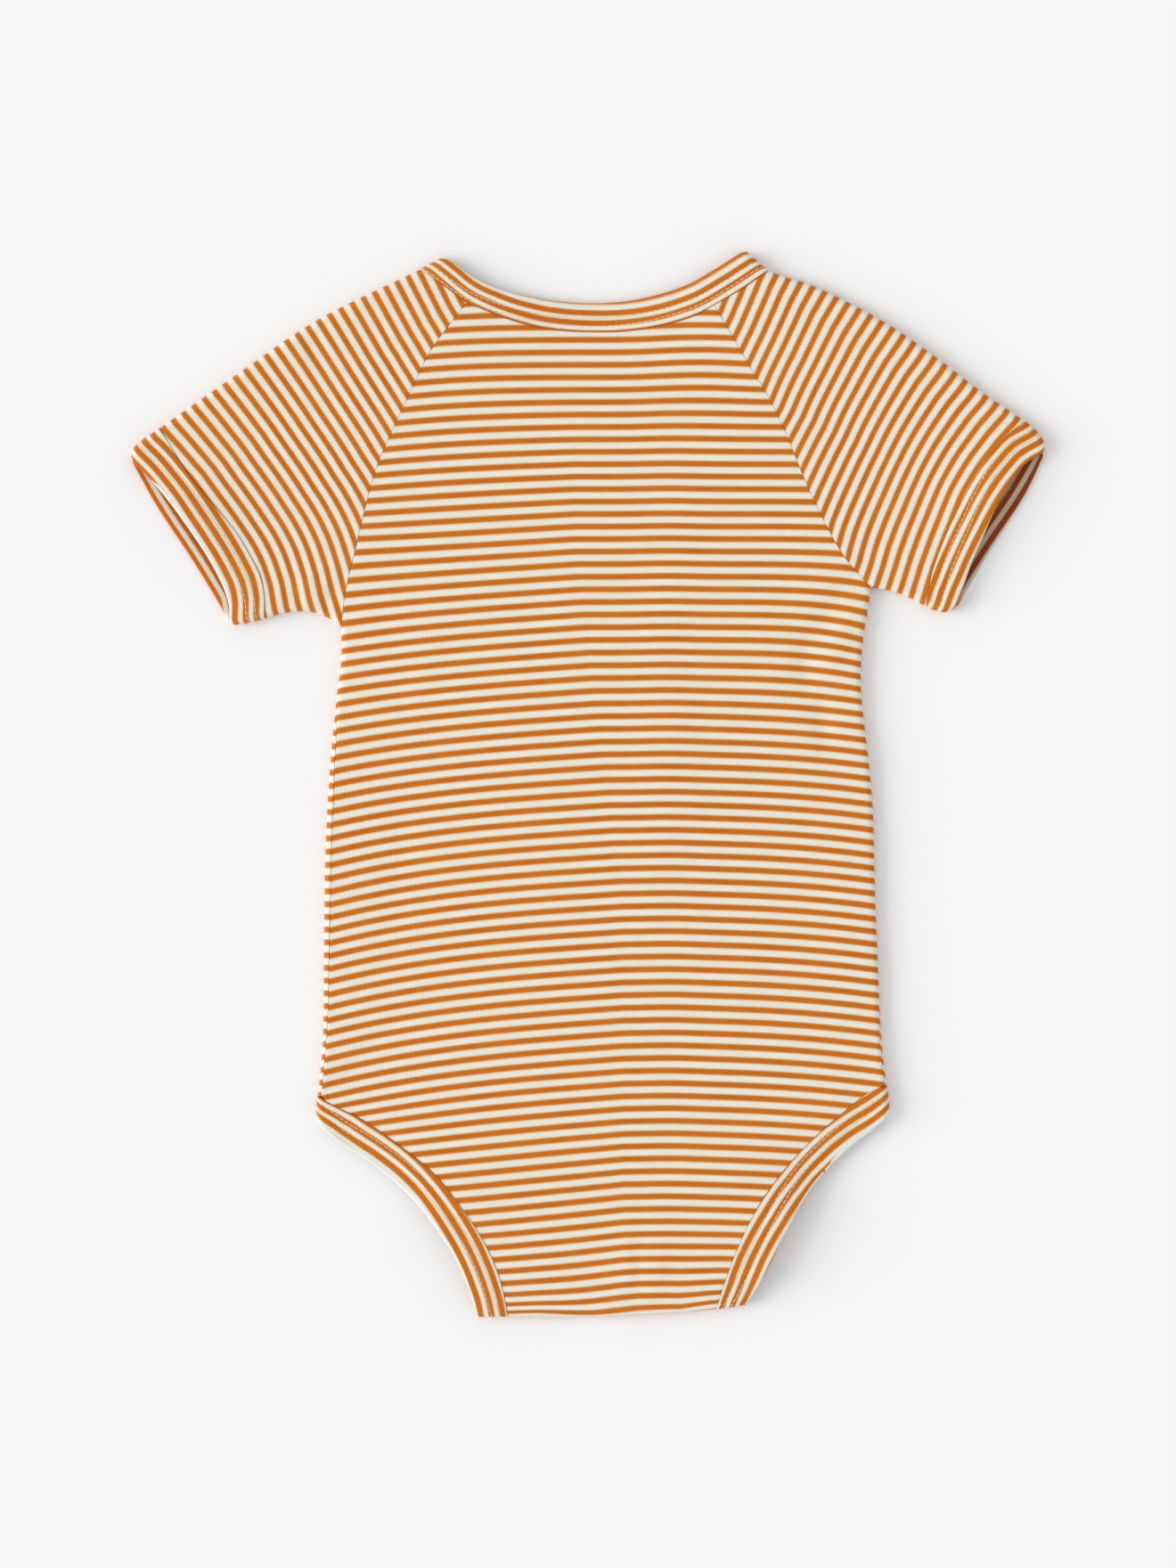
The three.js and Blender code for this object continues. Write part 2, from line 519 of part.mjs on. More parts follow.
// A sleeve is one piece folded along the shoulder and closed under the arm, so it is a flat tube: each
// station runs from the cuff to the raglan seam, and the stations go once round the tube.
function sleeve(lines) {
  const { shoulderFold, underarmFold, cuffTopFoot, cuffUnderFoot, neckFoot } = lines;
  const shoulder = (t) => shoulderFold.at(THREE.MathUtils.lerp(cuffTopFoot - gap, neckFoot + gap, t)).point;
  const underarm = (t) => (
    underarmFold.at(THREE.MathUtils.lerp(cuffUnderFoot + gap, underarmFold.length - gap, t)).point);
  const layer = (name, cuff, neck, raglan) => {
    const cuffEnd = (s) => cuff.at(s * cuff.length, gap).point;
    const bodyEnd = (s) => (s < NECK_PART
      ? neck.at((s / NECK_PART) * neck.length, -gap).point
      : alongRaglan(raglan, (s - NECK_PART) / (1 - NECK_PART), -gap));
    const corner = (s, t) => (s ? underarm(t) : shoulder(t));
    const ends = [cuffEnd, bodyEnd].map((end) => (s) => {
      if (s <= 0) return corner(0, end === cuffEnd ? 0 : 1);
      if (s >= 1) return corner(1, end === cuffEnd ? 0 : 1);
      return end(s);
    });
    return (s, t) => {
      const p = ends[0](s).multiplyScalar(1 - t).addScaledVector(ends[1](s), t);
      p.addScaledVector(shoulder(t), 1 - s).addScaledVector(underarm(t), s);
      p.addScaledVector(corner(0, 0), -(1 - s) * (1 - t)).addScaledVector(corner(0, 1), -(1 - s) * t);
      p.addScaledVector(corner(1, 0), -s * (1 - t)).addScaledVector(corner(1, 1), -s * t);
      return onLayer(name, p.x, p.y);
    };
  };
  const top = layer('upper', lines.backCuff, lines.backNeck, lines.backRaglan);
  const bottom = layer('lower', lines.frontCuff, lines.frontNeck, lines.frontRaglan);
  const down = share(SLEEVE_ROWS);
  const lengths = down.map((t) => THREE.MathUtils.lerp(lines.backCuff.length, SLEEVE_END, t));
  const stationAt = (patch, place) => down.map((t, i) => patch(place(lengths[i]), t));
  const places = [
    ...FOLD_STEPS.map((d) => (length) => d / length),
    () => NECK_PART * NECK_MIDDLE,
    ...share(RAGLAN_ROWS).slice(0, -1).map((t) => () => NECK_PART + (1 - NECK_PART) * t),
    ...[...FOLD_STEPS].reverse().map((d) => (length) => 1 - d / length),
  ];
  const stations = places.map((place) => stationAt(top, place));
  const back = [...places].reverse().slice(1, -1).map((place) => stationAt(bottom, place));
  return wall([...stations, ...back], true);
}

// A station of a binding, from a point beside its seam to one on its free edge
function bandRow(layer, seam, edge) {
  return share(BAND_COLUMNS).map((t) => seam.clone().lerp(edge, t)).map(({ x, y }) => onLayer(layer, x, y));
}

// The station of a binding that lies on a fold, from a foot on the fold to its end
function bandOnFold(fold, foot, tip) {
  const from = foot + Math.sign(tip - foot) * gap;
  return share(BAND_COLUMNS).map((t) => roundFold(fold, THREE.MathUtils.lerp(from, tip, t), 0));
}

// Stations of the neck binding along one layer, from the left shoulder to the right one. They lie where
// the columns of the sleeves and of the panel end.
function neckStations(layer) {
  const { neck, neckEdge, sleeveNecks } = PANELS[layer];
  const [first, last] = sleeveNecks;
  const total = first.length + neck.length + last.length;
  const ends = [...FOLD_STEPS.slice(1).map((d) => d / (SLEEVE_END * NECK_PART)), NECK_MIDDLE];
  const stations = [
    ...ends.map((t) => ({ seam: first.at(t * first.length, gap).point, run: t * first.length })),
    ...neckPlaces(PANELS[layer]).map((t) => (
      { seam: neck.at(t * neck.length, -gap).point, run: first.length + t * neck.length })),
    ...ends.reverse().map((t) => ({ seam: last.at(t * last.length, gap).point, run: total - t * last.length })),
  ];
  return stations.map(({ seam, run }) => bandRow(layer, seam, neckEdge.at((run / total) * neckEdge.length).point));
}

function neckBinding() {
  return binding([
    bandOnFold(left.shoulderFold, left.neckFoot, 0),
    ...neckStations('upper'),
    bandOnFold(right.shoulderFold, right.neckFoot, 0),
    ...neckStations('lower').reverse(),
  ], true);
}

function cuffBinding(lines) {
  const { backCuff, backCuffEdge, frontCuff, frontCuffEdge, shoulderFold, underarmFold } = lines;
  const stations = (layer, seam, edge) => {
    const steps = FOLD_STEPS.slice(1).map((d) => d / seam.length);
    const middle = share(CUFF_STATIONS).slice(1, -1);
    return [...steps, ...middle, ...steps.map((t) => 1 - t).reverse()].map((t) => (
      bandRow(layer, seam.at(t * seam.length, -gap).point, edge.at(t * edge.length).point)));
  };
  return binding([
    bandOnFold(shoulderFold, lines.cuffTopFoot, shoulderFold.length),
    ...stations('upper', backCuff, backCuffEdge),
    bandOnFold(underarmFold, lines.cuffUnderFoot, 0),
    ...stations('lower', frontCuff, frontCuffEdge).reverse(),
  ], true);
}

// A leg binding runs from the hem of the front, round the hip fold, down the back leg and round the
// crotch fold to the end of the tab
function legBinding(lines) {
  const { backLeg, backLegEdge, frontLeg, frontLegEdge, sideFold, hipFoot, tabSeam, tabEdge } = lines;
  const stations = (layer, seam, edge) => {
    const lengths = [...FOLD_STEPS.slice(1), ...legLengths(layer, seam)];
    return lengths.map((length) => (
      bandRow(layer, seam.at(length, -gap).point, edge.at((length / seam.length) * edge.length).point)));
  };
  const across = (key) => share(BAND_COLUMNS).map((t) => (
    THREE.MathUtils.lerp(tabSeam[key] - lines.side * gap, tabEdge[key], t)));
  return binding([
    ...stations('lower', frontLeg, frontLegEdge).reverse(),
    bandOnFold(sideFold, hipFoot, sideFold.length),
    ...stations('upper', backLeg, backLegEdge),
    ...tabRows(across('fold'), across('end')),
  ]);
}

// A round piece turned about a vertical axis, from a profile of radius and height
function turned(profile) {
  const points = profile.map(([radius, z]) => new THREE.Vector2(radius, z));
  const geometry = new THREE.LatheGeometry(points, LATHE_SEGMENTS).rotateX(Math.PI / 2);
  return geometry;
}

const disc = (radius, thick) => turned([
  [0, 0], [radius - RIM, 0], [radius, RIM], [radius, thick - RIM], [radius - RIM, thick], [0, thick],
]);

const socket = () => turned([
  [SOCKET_HOLE, 0], [SOCKET_RADIUS - RIM, 0], [SOCKET_RADIUS, RIM], [SOCKET_RADIUS, SOCKET_THICK - RIM],
  [SOCKET_RADIUS - RIM, SOCKET_THICK], [SOCKET_HOLE, SOCKET_THICK], [SOCKET_HOLE, 0],
]);

const stud = () => turned([
  [0, -KNOB_LENGTH], [KNOB_RADIUS - RIM, -KNOB_LENGTH], [KNOB_RADIUS, RIM - KNOB_LENGTH], [KNOB_RADIUS, 0],
  [SOCKET_RADIUS, 0], [SOCKET_RADIUS, STUD_THICK], [0, STUD_THICK],
]);

const garment = new THREE.Group();

function add(name, geometry, finish, position = [0, 0, 0]) {
  const mesh = new THREE.Mesh(geometry, new THREE.MeshStandardMaterial(finish));
  mesh.name = name;
  mesh.position.set(...position);
  garment.add(mesh);
}

add('back_panel', backPanel(), JERSEY);
add('front_panel', frontPanel(), JERSEY);
add('neck_binding', neckBinding(), JERSEY);
for (const [name, lines] of [['left', left], ['right', right]]) {
  add(`sleeve_${name}`, sleeve(lines), JERSEY);
  add(`cuff_binding_${name}`, cuffBinding(lines), JERSEY);
  add(`leg_binding_${name}`, legBinding(lines), JERSEY);
}

// Snaps in a row along the crotch, about its middle
const crotchMiddle = crotchFold.nearest((LEFT.tabSeam.fold + RIGHT.tabSeam.fold) / 2, CROTCH_FOLD[0][1]).length;
const socketZ = HEM_LIFT + CLOTH + SEAM_GAP;
const studZ = socketZ + SOCKET_THICK + SEAM_GAP;
for (let i = 0; i < SNAP_COUNT; i += 1) {
  const along = crotchMiddle + (i - (SNAP_COUNT - 1) / 2) * SNAP_SPACING;
  const { x, y } = crotchFold.at(along, SNAP_FROM_FOLD).point;
  add(`hem_cap_${i + 1}`, disc(CAP_RADIUS, CAP_THICK), SNAP_METAL, [x, y, 0]);
  add(`hem_socket_${i + 1}`, socket(), SNAP_METAL, [x, y, socketZ]);
  add(`tab_stud_${i + 1}`, stud(), SNAP_METAL, [x, y, studZ]);
  add(`tab_cap_${i + 1}`, disc(CAP_RADIUS, TAB_CAP_THICK), SNAP_METAL, [x, y, TAB_LIFT + CLOTH + SEAM_GAP]);
}

export default garment;
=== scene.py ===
import math

import bpy
import numpy as np
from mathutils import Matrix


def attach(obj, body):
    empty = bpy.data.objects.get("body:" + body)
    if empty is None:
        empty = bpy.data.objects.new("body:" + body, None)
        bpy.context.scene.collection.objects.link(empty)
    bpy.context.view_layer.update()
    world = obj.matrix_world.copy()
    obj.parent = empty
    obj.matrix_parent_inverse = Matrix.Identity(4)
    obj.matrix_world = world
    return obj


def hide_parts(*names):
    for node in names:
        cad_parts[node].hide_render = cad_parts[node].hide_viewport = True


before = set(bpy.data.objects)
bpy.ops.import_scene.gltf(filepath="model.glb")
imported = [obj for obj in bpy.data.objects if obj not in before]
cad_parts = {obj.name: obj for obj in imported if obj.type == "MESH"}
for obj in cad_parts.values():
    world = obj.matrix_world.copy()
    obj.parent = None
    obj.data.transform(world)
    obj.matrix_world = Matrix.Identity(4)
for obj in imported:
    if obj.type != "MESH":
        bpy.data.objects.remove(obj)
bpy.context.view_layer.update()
bpy.ops.object.select_all(action="DESELECT")


# Camera. It hangs straight over the onesie, which lies flat, and is far enough away that the cloth's small
# height doesn't widen it. Its upright picture takes in about 440 by 587 mm of the surface.
CAMERA_HEIGHT = 2.3
PICTURE_MIDDLE = (0.00017, -0.00033)
PICTURE_LENGTH = 0.58667
SENSOR = 36.0

lens = bpy.data.cameras.new("overhead_camera")
lens.sensor_fit = "VERTICAL"
lens.sensor_height = SENSOR
lens.sensor_width = SENSOR
lens.lens = SENSOR * (CAMERA_HEIGHT - 0.004) / PICTURE_LENGTH
lens.clip_end = 20
camera = bpy.data.objects.new("overhead_camera", lens)
camera.location = (*PICTURE_MIDDLE, CAMERA_HEIGHT)
bpy.context.collection.objects.link(camera)
bpy.context.scene.camera = camera


# Surface and light. The onesie lies on a wide pale board, under one big soft lamp low on its left and an even
# white room, so that a soft wide shadow falls to its right.
BOARD_SIZE = 8.0
BOARD_COLOUR = (0.90, 0.90, 0.905, 1)
ROOM_STRENGTH = 0.76
LAMP_TILT = 66
LAMP_TURN = 184
LAMP_SOFTNESS = 40
LAMP_STRENGTH = 2.05

bpy.ops.mesh.primitive_plane_add(size=BOARD_SIZE, location=(0, 0, -0.0001))
board = bpy.context.object
board.name = "pale_board"
bpy.ops.object.transform_apply(location=True, rotation=True, scale=True)
board_paint = bpy.data.materials.new("pale_board_paint")
board_paint.use_nodes = True
paint = board_paint.node_tree.nodes["Principled BSDF"]
paint.inputs["Base Color"].default_value = BOARD_COLOUR
paint.inputs["Roughness"].default_value = 0.9
paint.inputs["Specular IOR Level"].default_value = 0.1
board.data.materials.append(board_paint)

room = bpy.data.worlds.new("white_room")
room.use_nodes = True
room.node_tree.nodes["Background"].inputs["Color"].default_value = (1, 1, 1, 1)
room.node_tree.nodes["Background"].inputs["Strength"].default_value = ROOM_STRENGTH
bpy.context.scene.world = room
bpy.context.scene.view_settings.view_transform = "Standard"

lamp_light = bpy.data.lights.new("soft_lamp", "SUN")
lamp_light.angle = math.radians(LAMP_SOFTNESS)
lamp_light.energy = LAMP_STRENGTH
lamp = bpy.data.objects.new("soft_lamp", lamp_light)
lamp.location = (-1, 0.8, 1)
lamp.rotation_euler = (math.radians(LAMP_TILT), 0, math.radians(LAMP_TURN + 90))
bpy.context.collection.objects.link(lamp)


# Back panel. One piece of striped cotton rib jersey, cut from the back neck to the end of the tab that turns
# under at the crotch. It is the upper layer of the garment, and its side edges are sewn to the front.
CLOTH = 1.1
BINDING = 1.6
BINDING_PROUD = 0.3
GAP = 0.01
FOLD_RADIUS = 2.3
QUARTER_TURN = math.pi / 2 * FOLD_RADIUS
SWELL_EDGE = 14
LEG_DROOP = 0.9
LEG_DROOP_REACH = 10
TAB_LENGTH = 32
HEM_FROM_FOLD = 12
HEM_LIFT = 0.9
TAB_LIFT = 4.3
TAB_END_LIFT = 3.2
CROTCH_SWELL = 3
CROTCH_RAMP = 14
CROTCH_SPREAD = 34
CROTCH_FALL = 30
STRIPE = 4.71
WALE = 0.85
FIRST_STRIPE = 165.67

# The pattern in millimetres, seen from above: every seam, fold and edge of the two sides. Folds are where the
# upper layer turns into the lower one.
LEFT = {
    "shoulder_fold": [(-54.2, 196.8), (-62.8, 192.3), (-101.8, 173), (-131.8, 152.7), (-163.2, 130.7),
                      (-169.2, 126.2), (-171, 121.8)],
    "underarm_fold": [(-133.3, 59.3), (-126.5, 60.2), (-120.8, 61.6), (-113.2, 63.7), (-104.8, 64.3),
                      (-97.8, 62.3), (-92.2, 58.7)],
    "side_fold": [(-92.2, 58.7), (-92.2, 46.3), (-93.8, 33), (-95.8, 13), (-97.3, -8), (-98.3, -33),
                  (-98.7, -70), (-99, -95), (-100.2, -110), (-101.3, -121), (-100.9, -127.3)],
    "back_neck": [(-62.8, 192.3), (-56.8, 188.3), (-45.2, 179.7)],
    "back_raglan": [(-45.2, 179.7), (-58.2, 162.5), (-65.7, 147.5), (-72.3, 133.5), (-78.8, 118.5),
                    (-83.5, 101.7), (-87.7, 83.7), (-90.3, 73), (-92.2, 58.7)],
    "back_leg": [(-101, -116.9), (-95.7, -120.3), (-84.8, -125.5), (-66, -138.8), (-55.9, -147.5),
                 (-48.7, -156.5), (-41.5, -166.7), (-35.7, -177.5), (-32.1, -187.6), (-29.7, -199.6)],
    "back_leg_edge": [(-100.9, -127.3), (-92, -134.9), (-82.7, -140.7), (-66, -154.3), (-53, -171),
                      (-47.2, -181.1), (-43.6, -190.5), (-40.8, -199.7)],
    "back_cuff": [(-160, 133), (-151, 118.2), (-144.8, 110), (-135.7, 99.3), (-130.6, 92.7), (-125.5, 84),
                  (-122.4, 77.9), (-120.8, 69.5), (-120.8, 61.6)],
    "back_cuff_edge": [(-171, 121.8), (-159.8, 110), (-148.8, 95.3), (-139.8, 81.3), (-134.2, 68.7),
                       (-133.3, 59.3)],
    "front_neck": [(-62.8, 192.3), (-59, 178), (-51.5, 163.5)],
    "front_raglan": [(-51.5, 163.5), (-62, 143), (-71, 121), (-79, 99), (-86, 79), (-92.2, 58.7)],
    "front_leg": [(-101, -116.9), (-92, -118.5), (-78, -125), (-62, -136), (-48, -150), (-39, -164),
                  (-33, -177), (-30.5, -187.6)],
    "front_leg_edge": [(-100.9, -127.3), (-90, -131.5), (-78, -138.5), (-66, -149), (-57, -160), (-49, -172),
                       (-42, -187.6)],
    "front_cuff": [(-160, 133), (-150.8, 112), (-138, 91), (-127, 72), (-120.8, 61.6)],
    "front_cuff_edge": [(-171, 121.8), (-161.2, 104.3), (-147.8, 84), (-138.8, 69.3), (-133.3, 59.3)],
}
RIGHT = {
    "shoulder_fold": [(59.3, 199.3), (67.8, 192), (84.2, 186.3), (110.5, 173), (130.2, 159.7), (147.8, 146.3),
                      (165.2, 134.3), (170.2, 129), (171.2, 124.3)],
    "underarm_fold": [(137.4, 65), (132.5, 64.2), (126.8, 66.2), (119.8, 69.7), (112.2, 72.3), (106.2, 73.2)],
    "side_fold": [(106.2, 73.2), (104.8, 64), (103.2, 54), (102.3, 38), (103.5, 23), (105.5, 6.3),
                  (106.9, -12), (107.6, -40), (108.7, -67), (110.1, -97), (111.8, -112), (112.8, -121),
                  (112.4, -124.6)],
    "back_neck": [(67.8, 192), (58.8, 185.5), (47.5, 179)],
    "back_raglan": [(47.5, 179), (59.4, 158.4), (68.2, 143.7), (75, 129.1), (80.9, 114.4), (87.7, 99.7),
                    (94.6, 87), (100.5, 79.2), (106.2, 73.2)],
    "back_leg": [(111.9, -113.1), (104.7, -116.1), (98.2, -121.1), (84.5, -133), (72.2, -146.3),
                 (63.5, -158.7), (55.5, -175.3), (52, -184.7), (48.2, -196.9)],
    "back_leg_edge": [(112.4, -124.6), (106.2, -129.8), (98.2, -135.9), (83.8, -150.8), (72.9, -169.5),
                      (65, -185.4), (59.2, -195.2)],
    "back_cuff": [(163.4, 135.5), (154.5, 127.4), (145.3, 114.8), (136.6, 98.5), (129.5, 80.7), (127.5, 72.3),
                  (126.8, 66.2)],
    "back_cuff_edge": [(171.2, 124.3), (163.8, 120), (157.2, 111.8), (151.6, 101.6), (147.5, 92.2),
                       (143.2, 82.3), (139.9, 72.7), (137.4, 65)],
    "front_neck": [(67.8, 192), (64.5, 177.5), (57.5, 163)],
    "front_raglan": [(57.5, 163), (68, 143), (77, 122), (87, 100), (97, 83), (106.2, 73.2)],
    "front_leg": [(111.9, -113.1), (103, -114.5), (89, -122), (76, -134), (65, -148), (57.5, -162),
                  (52, -174), (48.8, -185.2)],
    "front_leg_edge": [(112.4, -124.6), (102, -128.5), (90.5, -137.5), (80.5, -150), (73, -163),
                       (66.5, -175), (60.5, -184.2)],
    "front_cuff": [(163.4, 135.5), (152.8, 114), (143, 96), (132, 76), (126.8, 66.2)],
    "front_cuff_edge": [(171.2, 124.3), (163.5, 108.3), (150.7, 87.7), (143.8, 76), (137.4, 65)],
}
CROTCH_FOLD = [(-40.8, -199.7), (-29.5, -199.6), (-10, -199.8), (15, -199.2), (32, -198.3), (48.2, -196.9),
               (59.2, -195.2)]
BACK_NECK = [(-45.2, 179.7), (-25.5, 172.3), (-10.8, 169.5), (2.7, 168.8), (16.1, 169.3), (38.4, 174.2),
             (47.5, 179)]
BACK_NECK_EDGE = [(-54.2, 196.8), (-39.2, 187), (-25, 182.4), (-4.5, 179.5), (16.1, 180.3), (36.5, 185.8),
                  (47.3, 191.7), (59.3, 199.3)]
FRONT_NECK = [(-51.5, 163.5), (-36, 150), (-16, 143), (3, 141.3), (22, 143), (42, 150), (57.5, 163)]
FRONT_NECK_EDGE = [(-54.2, 196.8), (-49, 180), (-41.5, 168), (-28, 158), (-12, 153), (3, 151.8), (18, 153),
                   (34, 158.3), (47.5, 168.5), (55, 181), (59.3, 199.3)]
# x of the tab's seams and edges at the crotch fold and at the tab's end
TAB_SEAM = {"left": (-29.7, -30.5), "right": (48.2, 47.6)}
TAB_EDGE = {"left": (-40.8, -41.8), "right": (59.2, 58.8)}
# How far in from the side fold each side seam shows on the upper layer: y, left, right
SIDE_SEAM = [(100, 0, 0), (33, 0, 0), (13, 1.6, 0), (-8, 2.3, 0), (-35, 2.4, 0), (-80, 1.9, 0),
             (-98, 1.3, 0.5), (-130, 1.2, 0.9)]
# Soft humps and hollows of the upper layer: x, y, angle, reach along, reach across, height
SWELLS = [
    (3, -20, 90, 130, 70, 1.1),
    (3, 183, 0, 36, 20, -2.5),
    (-149, 97, -57, 22, 18, 1.7),
    (152, 101, 60, 22, 18, 1.9),
    (90, 62, 60, 20, 4.5, -0.8),
    (86, 31, -73, 24, 5.5, -0.6),
    (-102, 163, -62, 10, 3.5, -0.6),
    (-93, 72, 72, 10, 3, -0.5),
    (17, -184, 84, 16, 6, 0.5),
    (28, 20, 88, 60, 10, 0.4),
    (-78, -100, 40, 26, 9, -0.4),
]
# Narrower creases of the finished cloth, in the same columns
CREASES = [
    (81.8, 45, 86, 9, 2.4, -0.5),
    (88.5, 20, 84, 12, 2.6, -0.45),
    (93, 50, 70, 10, 3, 0.35),
    (103, 80, 58, 8, 2, -0.45),
    (97, 84, 50, 9, 2.2, 0.3),
    (-104, 165, -63, 5, 1.8, -0.5),
    (-108, 162, -60, 5, 2.4, 0.35),
    (-110, 70, -70, 7, 3, -0.5),
    (-103, 72, -76, 7, 2.6, 0.4),
    (-97, 68, 80, 6, 2, -0.4),
    (19, -178, 84, 14, 2.8, -0.45),
    (26, -182, 78, 12, 3, 0.3),
    (112, 76, 62, 7, 2.5, -0.35),
    (-62, 40, 78, 30, 6, 0.25),
    (-70, -30, 88, 36, 5, -0.25),
    (60, -70, 80, 34, 6, 0.22),
    (-20, 60, 95, 26, 7, -0.2),
    (-88, -108, 35, 12, 3, -0.3),
    (96, -104, -30, 13, 3.4, -0.3),
]
# Close steps from a sewn edge, so that the cloth rounds over into its seam
EDGE_STEPS = np.array([0, 0.05, 0.16, 0.34, 0.62, 1.1, 1.7, 2.3, 2.9, 3.6])


def ease(t):
    t = np.clip(t, 0, 1)
    return t * t * (3 - 2 * t)


def mix(a, b, t):
    return a + (b - a) * t


class PatternLine:
    """A smooth line through pattern points. The cloth is on its left where side is 1."""

    def __init__(self, points, side=1):
        p = np.array(points, float)
        p = np.vstack([2 * p[0] - p[1], p, 2 * p[-1] - p[-2]])
        t = np.linspace(0, 1, 60, endpoint=False)[:, None]
        pieces = []
        for a, b, c, d in zip(p, p[1:], p[2:], p[3:]):
            before, here, after = (np.hypot(*(v - u)) ** 0.5 for u, v in ((a, b), (b, c), (c, d)))
            start = ((b - a) / before - (c - a) / (before + here) + (c - b) / here) * here
            finish = ((c - b) / here - (d - b) / (here + after) + (d - c) / after) * here
            bend = 3 * (c - b) - 2 * start - finish
            pieces.append(b + start * t + bend * t ** 2 + (2 * (b - c) + start + finish) * t ** 3)
        dense = np.vstack([*pieces, p[-2:-1]])
        run = np.r_[0, np.cumsum(np.hypot(*np.diff(dense, axis=0).T))]
        places = np.linspace(0, run[-1], int(run[-1] / 1.1) + 2)
        self.points = np.c_[np.interp(places, run, dense[:, 0]), np.interp(places, run, dense[:, 1])]
        self.steps = np.diff(self.points, axis=0)
        self.runs = np.r_[0, np.cumsum(np.hypot(*self.steps.T))]
        self.length = self.runs[-1]
        way = np.gradient(self.points, axis=0)
        way /= np.linalg.norm(way, axis=1)[:, None]
        self.side = side
        self.inward = np.c_[-way[:, 1], way[:, 0]] * side

    def into(self, length):
        """The unit vector into the cloth at a length along the line."""
        n = np.stack([np.interp(length, self.runs, self.inward[:, k]) for k in (0, 1)], -1)
        return n / np.linalg.norm(n, axis=-1, keepdims=True)

    def at(self, length, inset=0):
        """The point at a length along the line, moved into the cloth by inset."""
        here = np.stack([np.interp(length, self.runs, self.points[:, k]) for k in (0, 1)], -1)
        inward = self.into(length)
        past = np.asarray(length - np.clip(length, 0, self.length))[..., None]
        way = np.stack([inward[..., 1], -inward[..., 0]], -1) * self.side
        return here + inward * inset + way * past

    def nearest(self, xy):
        """Distance to the line, and the length along it of the nearest point."""
        flat = np.reshape(xy, (-1, 2))
        square = (self.steps ** 2).sum(1)
        distance = np.empty(len(flat))
        length = np.empty(len(flat))
        for start in range(0, len(flat), 4000):
            away = flat[start:start + 4000, None] - self.points[None, :-1]
            part = np.clip((away * self.steps).sum(-1) / square, 0, 1)
            left = ((away - part[..., None] * self.steps) ** 2).sum(-1)
            best = left.argmin(1)
            rows = np.arange(len(best))
            distance[start:start + 4000] = np.sqrt(left[rows, best])
            length[start:start + 4000] = self.runs[best] + part[rows, best] * np.sqrt(square[best])
        shape = np.shape(xy)[:-1]
        return distance.reshape(shape), length.reshape(shape)


def draw_side(table, side):
    lines = {name: PatternLine(points, side) for name, points in table.items()}
    feet = {
        "neck_foot": lines["shoulder_fold"].nearest(table["back_neck"][0])[1],
        "cuff_top_foot": lines["shoulder_fold"].nearest(table["back_cuff"][0])[1],
        "cuff_under_foot": lines["underarm_fold"].nearest(table["back_cuff"][-1])[1],
        "hip_foot": lines["side_fold"].nearest(table["back_leg"][0])[1],
        "side": side,
    }
    return {**lines, **feet}


pattern = {"left": draw_side(LEFT, 1), "right": draw_side(RIGHT, -1)}
crotch_fold = PatternLine(CROTCH_FOLD, 1)
necks = {"upper": PatternLine(BACK_NECK, -1), "lower": PatternLine(FRONT_NECK, -1)}
neck_edges = {"upper": PatternLine(BACK_NECK_EDGE, -1), "lower": PatternLine(FRONT_NECK_EDGE, -1)}
fold_names = ("shoulder_fold", "underarm_fold", "side_fold")
folds = [lines[name] for lines in pattern.values() for name in fold_names]
folds.append(crotch_fold)


def humps(xy, table):
    x, y = xy[..., 0], xy[..., 1]
    height = np.zeros(x.shape)
    for at_x, at_y, angle, along, across, rise in table:
        turn = math.radians(angle)
        a = ((x - at_x) * math.cos(turn) + (y - at_y) * math.sin(turn)) / along
        b = ((y - at_y) * math.cos(turn) - (x - at_x) * math.sin(turn)) / across
        height += rise * np.exp(-a * a - b * b)
    return height


def steepness(from_fold):
    return np.sqrt(1 - (1 - np.minimum(from_fold, FOLD_RADIUS) / FOLD_RADIUS) ** 2)


def upper_height(xy):
    """Outer face of the upper layer: the back, the upper side of the sleeves and their bindings."""
    from_fold = np.min([fold.nearest(xy)[0] for fold in folds], axis=0)
    up = crotch_fold.nearest(xy)[0]
    over_snaps = ease(up / CROTCH_RAMP) * (1 - ease((up - CROTCH_SPREAD) / CROTCH_FALL))
    from_leg = np.minimum(*(lines["back_leg_edge"].nearest(xy)[0] for lines in pattern.values()))
    droop = LEG_DROOP * np.exp(-(from_leg / LEG_DROOP_REACH) ** 2) * (1 - over_snaps)
    rise = ease(from_fold / SWELL_EDGE) * (humps(xy, SWELLS) - droop) + CROTCH_SWELL * over_snaps
    rise += ease(from_fold / 5) * humps(xy, CREASES)
    return FOLD_RADIUS + FOLD_RADIUS * steepness(from_fold) + rise


# Shallow waves where the front doesn't touch the board, in the columns of the humps
UNDER_WAVES = [
    (-60, 30, 80, 40, 7, 0.6),
    (70, -20, 95, 50, 8, 0.5),
    (10, 100, 20, 30, 9, 0.5),
    (-20, -90, 60, 36, 9, 0.6),
    (60, -110, 130, 20, 7, 0.5),
    (-120, 110, 30, 16, 6, 0.5),
    (130, 120, 150, 16, 6, 0.5),
]


def lower_height(xy):
    """Outer face of the lower layer, which lies on the board. Its hem is lifted by the snaps."""
    from_fold = np.min([fold.nearest(xy)[0] for fold in folds], axis=0)
    hem = HEM_LIFT * (1 - ease((crotch_fold.nearest(xy)[0] - 30) / 10))
    waves = ease((from_fold - 3) / 8) * humps(xy, UNDER_WAVES)
    return FOLD_RADIUS - FOLD_RADIUS * steepness(from_fold) + hem + waves


